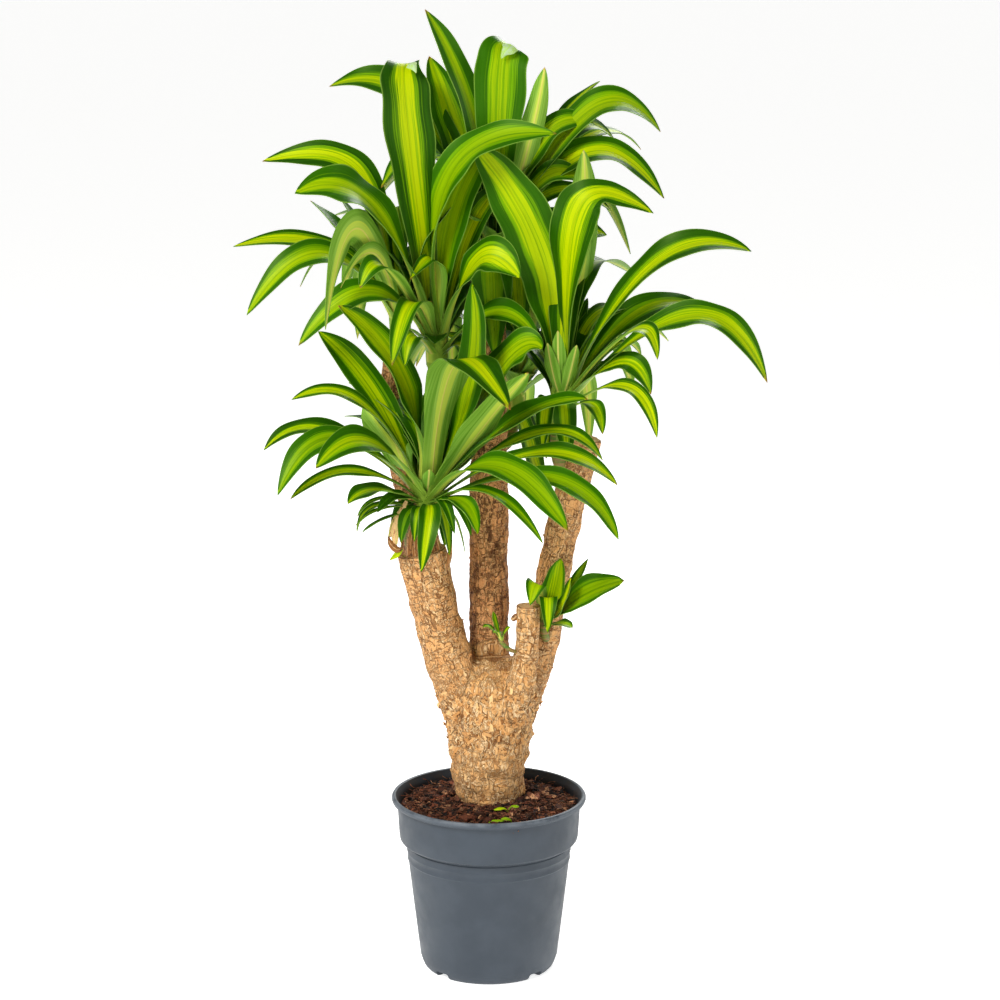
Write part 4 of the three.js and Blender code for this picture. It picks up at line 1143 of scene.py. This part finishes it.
class CORN_OT_trunk(bpy.types.Operator):
    """Grow the branched trunk as one skin with plated bark and sawn cane ends"""
    bl_idname = "corn_plant.trunk"
    bl_label = "Trunk"

    def execute(self, context):
        settings = context.scene.corn_bark
        bm = bmesh.new()
        for number, rows in enumerate(TRUNK):
            tube_along(bm, rows, TRUNK_SIDES, BARK_SWELL, number * 2.1)
        blank = loose_piece(bm, "trunk_blank")
        skin = blank.modifiers.new("skin", "REMESH")
        skin.mode, skin.voxel_size, skin.adaptivity = "VOXEL", settings.voxel, 0.0
        ease = blank.modifiers.new("ease", "SMOOTH")
        ease.factor, ease.iterations = 0.5, 3
        apply_modifiers(blank)
        bm = bmesh.new()
        bm.from_mesh(blank.data)
        drop(blank)
        bm.normal_update()
        place_layer = bm.verts.layers.float_vector.new("bark_place")
        look_layer = bm.verts.layers.float_vector.new("bark_look")
        kind_layer = bm.verts.layers.float_vector.new("bark_kind")
        points = np.array([v.co for v in bm.verts]) / MM
        limb, offset, along, _ = limb_places(points)
        moved = []
        for i, v in enumerate(bm.verts):
            number = limb[i]
            rows = TRUNK[number]
            top = Vector(rows[-1][:3])
            heading = (top - Vector(rows[-2][:3])).normalized()
            beyond = (Vector(points[i]) - top).dot(heading)
            cut = clamp((beyond + 1.6) / 1.6) * clamp((v.normal.dot(heading) - 0.35) / 0.3)
            place = Vector((offset[i][0], offset[i][1], along[i] + LIMB_SHIFT * number))
            z = points[i][2]
            fork = near(z, FORK_CURLY)
            dark_from, over = LIMB_DARK_FROM[number]
            high = smooth(clamp((z - dark_from) / over))
            tone = clamp(LIMB_TONE[number] * high + 0.10 * noise.noise(place * 0.02))
            flaky = LIMB_FLAKY[number] * (1 + 0.6 * fork)
            wild = clamp(near(z, FORK_WILD) * 1.15 * (1 - tone))
            lift = bark_relief(place, Vector(points[i]), flaky, clamp((tone - 0.4) * 2) * high, wild)
            lift = lift * (1 - cut) + cut * 0.5 * noise.noise(Vector(points[i]) * 0.3)
            v[place_layer] = place
            v[kind_layer] = (wild, 0, 0)
            # painted shade: the bark is laid darker where the relief sinks and at the listed places between
            # the limbs
            limb_gap_shade = sum(math.exp(-((Vector(points[i]) - Vector(row[:3])).length / row[3]) ** 2)
                       for row in TRUNK_PAINTED_SHADE)
            v[look_layer] = (tone, cut, clamp(0.5 + lift * 0.28 - limb_gap_shade * 0.45))
            moved.append(v.co + v.normal * lift * MM)
        for v, co in zip(bm.verts, moved):
            v.co = co
        finish_piece(bm, "trunk_bark", [bark_material(settings)], "trunk", sharp=70)
        return {"FINISHED"}


def flake_shape(draw):
    """A curled flake of bark about one unit high, lying in XY with its outside up."""
    bm = bmesh.new()
    bmesh.ops.create_grid(bm, x_segments=2, y_segments=3, size=0.5)
    curl, cup = draw.uniform(0.15, 0.75), draw.uniform(-0.5, 0.3)
    for v in bm.verts:
        x, y = v.co.x * draw.uniform(0.8, 1.2), v.co.y
        v.co = (x * 0.62 * draw.uniform(0.6, 1.2) + draw.uniform(-0.12, 0.12), y + draw.uniform(-0.16, 0.16),
                curl * max(0, y + 0.1) ** 2 * 1.3 + cup * x * x)
    bmesh.ops.solidify(bm, geom=bm.faces[:], thickness=0.07)
    return mesh_of(bm, "flake_shape")


class CORN_OT_flakes(bpy.types.Operator):
    """Lift thin curled flakes off the bark, most of them at the fork and the lower trunk"""
    bl_idname = "corn_plant.flakes"
    bl_label = "Bark flakes"

    def execute(self, context):
        settings = context.scene.corn_bark
        draw = random.Random(FLAKE_SEED)
        skin = bpy.data.objects["trunk_bark"].data
        looks = skin.attributes["bark_look"].data
        samples = limb_samples()
        picks = draw.sample(range(len(skin.vertices)), min(len(skin.vertices), settings.flakes * 12))
        points = np.array([skin.vertices[i].co for i in picks]) / MM
        limb, _, _, nearest = limb_places(points)
        spots = []
        for k, i in enumerate(picks):
            if len(spots) >= settings.flakes:
                break
            z, number = points[k][2], limb[k]
            fork = near(z, FORK_FLAKES)
            wanted = LIMB_FLAKES[number] + 0.75 * fork * fork
            tone, cut, _ = looks[i].vector
            if z < SOIL_FLAT or cut > 0.05 or draw.random() > wanted:
                continue
            normal = Vector(skin.vertices[i].normal)
            low = samples[max(nearest[k] - 2, 0)]
            heading = Vector(samples[nearest[k]][:3] - low[:3]) if low[5] == number else Vector((0, 0, 1))
            if heading.length < 1e-6:
                heading = Vector((0, 0, 1))
            side = heading.cross(normal).normalized()
            upward = normal.cross(side).normalized()
            grid = Matrix((side, upward, normal)).transposed().to_4x4()
            chunk = 0.0
            if points[k][1] < 0:
                across = (points[k][0] - FORK_CHUNKS["x"]) / FORK_CHUNKS["wide"]
                chunk = math.exp(-across ** 2 - ((z - FORK_CHUNKS["z"]) / FORK_CHUNKS["high"]) ** 2)
            size = draw.uniform(3.0, 6.0) * (1.0 + 0.4 * fork) * (1.6 if draw.random() < 0.6 * chunk else 1.0)
            slim = 0.62 if number in SLIM_FLAKES else 1.0
            turn = Matrix.Rotation(draw.gauss(0, 0.35 + 0.8 * fork), 4, "Z")
            turn = turn @ Matrix.Rotation(draw.uniform(-0.02, 0.17), 4, "X")
            turn = turn @ Matrix.Rotation(math.pi if draw.random() < 0.5 else 0.0, 4, "Z")
            spot = Matrix.Translation(skin.vertices[i].co + normal * 0.10 * MM)
            shape = Matrix.Diagonal((size * slim * MM, size * draw.uniform(0.9, 1.5) * MM, size * MM, 1))
            spots.append((spot @ grid @ turn @ shape, (tone, draw.random() ** 2.0, draw.random())))
        scatter("bark_flakes", [flake_shape(draw) for _ in range(16)], spots, "flake_look",
                flake_material(settings), sharp=50)
        return {"FINISHED"}


# --------------------------------------------------------------------- leaves
def rear_row(spec, row):
    """A rear row turned into a leaf row: it rises from the crown, then bends over."""
    turn, length, rise, bend, width = row
    a, crown = math.radians(turn), Vector(spec["crown"])

    def reach(degrees, part):
        e = math.radians(degrees)
        return Vector((math.cos(a) * math.cos(e), math.sin(a) * math.cos(e), math.sin(e))) * length * part

    middle = crown + reach(rise, 0.5)
    return [*(middle + reach(rise - bend, 0.47)), *middle, width, 0, 0]


def leaf_rows(spec):
    """The leaf rows of a head, the listed ones first and then the rear ones."""
    return spec["leaves"] + [rear_row(spec, row) for row in spec["rear"]]


def leaf_arch(spec, row, index):
    """The four control points of a leaf's middle line, from its foot at the crown to its tip."""
    crown, tip, middle = Vector(spec["crown"]), Vector(row[0:3]), Vector(row[3:6])
    size = 0.3 if spec["name"] in SMALL_SHOOTS else 1.0
    away = Vector((middle.x - crown.x, middle.y - crown.y, 0))
    out = max(away.length, 1e-6)
    rise = clamp(math.degrees(math.atan2(middle.z - crown.z, out)), 0, 90)
    foot = crown + away * (size * 4 / out)
    foot.z += size * (-12 + 30 * rise / 90 + 1.4 * math.sin(index * 2.3))
    fold = row[8]
    k = 2 / 3 + min(fold, 0.62) * 0.3
    u = row[9] if len(row) > 9 else 0.5
    a = (1 - u) ** 3 + 3 * (1 - u) ** 2 * u * (1 - k)
    b = u ** 3 + 3 * (1 - u) * u ** 2 * (1 - k)
    peak = (middle - foot * a - tip * b) / (3 * k * (1 - u) * u)
    return foot, foot.lerp(peak, k), tip.lerp(peak, k), tip


def arch_at(arch, u):
    """Point and direction on the middle line."""
    p0, p1, p2, p3 = arch
    v = 1 - u
    point = p0 * v ** 3 + p1 * 3 * v * v * u + p2 * 3 * v * u * u + p3 * u ** 3
    way = (p1 - p0) * v * v + (p2 - p1) * 2 * v * u + (p3 - p2) * u * u
    return point, way.normalized()


def leaf_width(u):
    """Width of a blade from foot to tip, as a share of its widest place."""
    if u < 0.5:
        return 0.38 + 0.62 * smooth(u / 0.5)
    return max(0.0, 1 - ((u - 0.5) / 0.5) ** 2.6) ** 0.86


def add_blade(bm, layers, spec, row, index, settings, plain_painted_shade=False):
    """One leaf: a grid bent along its arch, its foot wrapped round the stem, made a closed blade."""
    small = spec["name"] in SMALL_SHOOTS
    draw = random.Random("%s %d" % (spec["name"], index))
    arch = leaf_arch(spec, row, index)
    foot, tip, middle = arch[0], arch[3], Vector(row[3:6])
    width, roll, fold = row[6:9]
    heading = (middle - foot) * 1.5 + (tip - foot) * 0.5
    heading.z = 0
    heading.normalize()
    level = Vector((heading.y, -heading.x, 0))
    around = math.atan2(heading.y, heading.x)
    length = sum((arch_at(arch, (k + 1) / 24)[0] - arch_at(arch, k / 24)[0]).length for k in range(24))
    along = 20 if small else settings.along
    across = 6 if small else settings.across
    stem_radius = spec["stem"][-2][3] + 0.6 + 0.5 * (index % 5)
    seed, stripe = draw.random(), draw.uniform(0.26, 0.50)
    # painted shade: inner and closing leaves get little or no lime stripe, a darker green
    if plain_painted_shade:
        stripe = draw.uniform(-0.3, 0.25)
    if small:
        stripe += 0.06
    scallop = draw.uniform(0.6, 1.3)
    made = bmesh.ops.create_grid(bm, x_segments=across, y_segments=along, size=0.5)["verts"]
    faces = once(f for v in made for f in v.link_faces)
    ends = []
    for v in made:
        w, t = v.co.x * 2, v.co.y + 0.5
        u = max(0.0, (t - CLASP) / (1 - CLASP))
        q = min(1.0, t / CLASP)
        point, way = arch_at(arch, u)
        side = (level - way * level.dot(way)).normalized()
        side = Matrix.Rotation(-math.radians(roll * clamp(u / 0.4)), 3, way) @ side
        up = side.cross(way)
        half = width / 2 * leaf_width(u)
        if len(row) > 9 and fold > 0.7:
            half = width / 2 * (0.38 + 0.62 * smooth(clamp(u / 0.36)))
            half *= 1 - 0.5 * smooth(clamp((u - row[9] + 0.32) / 0.24))
            half *= clamp((1 - u) / 0.2) ** 0.7
        soft = smooth(clamp(u * 3))
        ruffle = 1 + 0.035 * scallop * soft * math.sin(u * length / 11 + seed * 40 + w)
        sink = half * (0.34 - 0.16 * u) * (1 - 0.9 * fold)
        wave = half * 0.09 * soft * (1 - fold) * math.sin(u * 15 + index * 1.9 + w * 1.3)
        frill = half * 0.05 * scallop * soft * math.sin(u * length / 14 + seed * 90 + w * 2.2)
        height = -sink * (1 - abs(w) ** 1.4) + (wave + frill) * abs(w) ** 2.4
        blade = point + side * half * w * ruffle + up * height
        a = around - w * lerp(1.55, 1.05, q)
        radius = stem_radius * (0.35 if small else 1.0) + 1.2 * q
        drop_by = (5 if small else 20) * (1 - q)
        sheath = Vector((spec["crown"][0] + math.cos(a) * radius, spec["crown"][1] + math.sin(a) * radius,
                         foot.z - drop_by + 26 * u))
        v.co = sheath.lerp(blade, smooth(clamp(u / 0.14))) * MM
        v[layers[0]] = (half * w, u * length, seed)
        v[layers[1]] = (w, u, stripe)
        if t > 0.9999:
            ends.append(v)
    bmesh.ops.pointmerge(bm, verts=ends, merge_co=tip * MM)
    faces = [f for f in faces if f.is_valid]
    new = bmesh.ops.solidify(bm, geom=faces, thickness=(0.7 * MM if small else settings.thick))["geom"]
    for face in new:
        if isinstance(face, bmesh.types.BMFace):
            face.material_index = 1


def inner_rows(spec):
    """Steep young leaves that close the heart of a big head."""
    draw = random.Random(spec["name"] + " inner")
    rows = []
    for k in range(INNER_LEAVES):
        back = spec["name"] in OPEN_HEARTS or k % 4 != 3
        turn = draw.uniform(10, 170) if back else draw.uniform(190, 350)
        length = draw.uniform(120, 195) if back else draw.uniform(52, 84)
        rise, bend, width = draw.uniform(35, 85), draw.uniform(15, 60), draw.uniform(24, 38)
        rows.append(rear_row(spec, (turn, length, rise, bend, width)))
    return rows


def shred_rows(spec):
    """Torn brown scales that stand round the foot of a big head's stem."""
    draw = random.Random(spec["name"] + " shreds")
    wide, centre, head = SHREDS[spec["name"]]
    rows = []
    for k in range(SHRED_COUNT):
        a = k / SHRED_COUNT * 2 * math.pi + draw.uniform(-0.1, 0.1)
        out = Vector((math.cos(a), math.sin(a), 0))
        low = Vector(centre) + out * wide * draw.uniform(0.80, 1.0)
        high = Vector(head) + out * draw.uniform(11, 14)
        high.z += draw.uniform(-14, 8)
        middle = low.lerp(high, 0.5) + out * draw.uniform(0, 3)
        half = draw.uniform(3.0, 5.5)
        low.z -= 5
        spine = [(*low, half), (*middle, half * 1.1), (*high, 0.6)]
        rows.append((draw.choice((PAPERY, OLD_SCALE, OLD_SCALE)), (out.x, out.y, 0.3), spine))
    return rows


def add_ribbon(bm, layers, spine, facing, slot, values):
    """A thin cupped strip through rows of x, y, z, half width, facing one way."""
    made = bmesh.ops.create_grid(bm, x_segments=6, y_segments=14, size=0.5)["verts"]
    faces = once(f for v in made for f in v.link_faces)
    last = len(spine) - 1
    length = sum((Vector(a[:3]) - Vector(b[:3])).length for a, b in zip(spine, spine[1:]))
    for v in made:
        w, t = v.co.x * 2, v.co.y + 0.5
        x, y, z, half = through(spine, t * last)
        ahead = Vector(through(spine, min(t + 0.05, 1) * last)[:3])
        ahead -= Vector(through(spine, max(t - 0.05, 0) * last)[:3])
        side = ahead.cross(Vector(facing)).normalized()
        up = side.cross(ahead).normalized()
        v.co = (Vector((x, y, z)) + side * max(half, 0.3) * w - up * 0.45 * half * w * w) * MM
        v[layers[0]] = (half * w, t * length, values[0])
        v[layers[1]] = (w, t, values[1])
    new = bmesh.ops.solidify(bm, geom=faces, thickness=0.7 * MM)["geom"]
    for face in faces + [g for g in new if isinstance(g, bmesh.types.BMFace)]:
        face.material_index = slot


class CORN_OT_scraps(bpy.types.Operator):
    """Add the dry sheaths, scales, buds and seedlings"""
    bl_idname = "corn_plant.scraps"
    bl_label = "Dry scraps and seedlings"

    def execute(self, context):
        settings = context.scene.corn_leaf
        skins = [leaf_material(settings),
                 papery_material("papery", settings.papery, settings.foot, settings.scale),
                 papery_material("old_scale", settings.scale, settings.papery, settings.burnt),
                 # the fold finish is the paler leaf back with a painted sheen
                 papery_material("pale_fold_sheen", settings.fold, settings.under_light, settings.under_light)]
        heads = [shred_rows(spec) for spec in SHOOTS if spec["name"] in SHREDS]
        for name, slot, entries in SCRAPS + [("stem_shreds", "bark", sum(heads, []))]:
            bm = bmesh.new()
            layers = [bm.verts.layers.float_vector.new(n) for n in ("leaf_place", "leaf_look")]
            for k, (kind, facing, spine) in enumerate(entries):
                add_ribbon(bm, layers, spine, facing, kind, (0.137 * k % 1.0, 1.2 if slot == "leaf" else 0.0))
            finish_piece(bm, name, skins, sharp=60)
        return {"FINISHED"}


class CORN_OT_leaves(bpy.types.Operator):
    """Grow the leafy shoots: a stem and its striped, arching leaves, one piece for each head"""
    bl_idname = "corn_plant.leaves"
    bl_label = "Leafy shoots"

    def execute(self, context):
        settings = context.scene.corn_leaf
        skins = [leaf_material(settings), underside_material(settings), stem_material(settings)]
        for spec in SHOOTS:
            bm = bmesh.new()
            layers = [bm.verts.layers.float_vector.new(n) for n in ("leaf_place", "leaf_look")]
            for index, row in enumerate(leaf_rows(spec)):
                add_blade(bm, layers, spec, row, index, settings)
            if spec["name"] not in SMALL_SHOOTS:
                # the inner and closing leaves are drawn plain dark green as painted shade in the heart of
                # each head
                for index, row in enumerate(inner_rows(spec) + EXTRA_LEAVES.get(spec["name"], [])):
                    add_blade(bm, layers, spec, row, index + INNER_FROM, settings, True)
            leaves = set(bm.faces)
            stem = [[*row[:3], row[3] * (0.7 if k == 0 else 1.0)] for k, row in enumerate(spec["stem"])]
            tube_along(bm, stem, 12 if spec["name"] in SMALL_SHOOTS else 28, 0.02, 1.0, 2.5)
            for face in bm.faces:
                if face not in leaves:
                    face.material_index = 2
            finish_piece(bm, spec["name"].replace("shoot", "leaves"), skins, spec["name"], sharp=58)
        return {"FINISHED"}


# ---------------------------------------------------------------------- stage
def area_light(name, place, size, power):
    """A soft round light that shines on the middle of the plant."""
    lamp = bpy.data.lights.new(name, "AREA")
    lamp.shape, lamp.size, lamp.energy = "DISK", size, power
    made = bpy.data.objects.new(name, lamp)
    made.location = place
    made.rotation_euler = (Vector(LIT_POINT) - Vector(place)).to_track_quat("-Z", "Y").to_euler()
    bpy.context.scene.collection.objects.link(made)


class CORN_OT_stage(bpy.types.Operator):
    """Set the pale floor, the soft studio lights and the camera"""
    bl_idname = "corn_plant.stage"
    bl_label = "Studio"

    def execute(self, context):
        settings = context.scene.corn_stage
        bm = bmesh.new()
        bmesh.ops.create_circle(bm, segments=96, radius=FLOOR_RADIUS, cap_ends=True)
        floor = loose_piece(bm, "studio_floor")
        floor.data.materials.append(floor_material(settings))
        for name, place, size, share in LIGHTS:
            area_light(name, place, size, settings.key * share)
        world = bpy.data.worlds.new("studio_light")
        world.use_nodes = True
        s = Shader(world.node_tree)
        height = s.split(s.node("ShaderNodeTexCoord").outputs["Generated"])[2]
        # white behind the plant, dimmer overhead
        background = world.node_tree.nodes["Background"]
        s.put(background.inputs["Strength"], s.spread(height, 0.32, 0.16, settings.sky, 1.0))
        background.inputs["Color"].default_value = (1.0, 1.0, 1.0, 1)
        context.scene.world = world
        context.scene.view_settings.view_transform = "Standard"
        lens = bpy.data.cameras.new("camera")
        lens.lens, lens.sensor_width = settings.lens, SENSOR_WIDTH
        camera = bpy.data.objects.new("camera", lens)
        camera.location = CAMERA_PLACE
        camera.rotation_euler = (math.radians(90 - CAMERA_DOWN), 0, 0)
        context.scene.collection.objects.link(camera)
        context.scene.camera = camera
        return {"FINISHED"}


OPERATORS = (CORN_OT_pot, CORN_OT_soil, CORN_OT_litter, CORN_OT_trunk, CORN_OT_flakes, CORN_OT_leaves,
             CORN_OT_scraps, CORN_OT_stage)
SETTINGS = {"corn_pot": PotSettings, "corn_soil": SoilSettings, "corn_bark": BarkSettings,
            "corn_leaf": LeafSettings, "corn_stage": StageSettings}


class CORN_PT_panel(bpy.types.Panel):
    """Lists the plant's pieces and their settings"""
    bl_idname = "CORN_PT_panel"
    bl_label = "Corn plant"
    bl_space_type = "VIEW_3D"
    bl_region_type = "UI"
    bl_category = "Corn plant"

    def draw(self, context):
        for name, group in SETTINGS.items():
            box = self.layout.box()
            box.label(text=group.__doc__)
            for key in group.__annotations__:
                box.prop(getattr(context.scene, name), key)
        for operator in OPERATORS:
            self.layout.operator(operator.bl_idname)


def register():
    for item in (*SETTINGS.values(), *OPERATORS, CORN_PT_panel):
        bpy.utils.register_class(item)
    for name, group in SETTINGS.items():
        setattr(bpy.types.Scene, name, PointerProperty(type=group))


def unregister():
    for name in SETTINGS:
        delattr(bpy.types.Scene, name)
    for item in (CORN_PT_panel, *reversed(OPERATORS), *SETTINGS.values()):
        bpy.utils.unregister_class(item)


def main():
    """Makes the shared patterns and runs every operator in order."""
    register()
    for make in (make_leaf_pattern, make_bark_pattern, make_speckle_pattern):
        make()
    for operator in OPERATORS:
        getattr(bpy.ops.corn_plant, operator.bl_idname.split(".")[1])()
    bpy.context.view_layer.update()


if __name__ == "__main__":
    main()
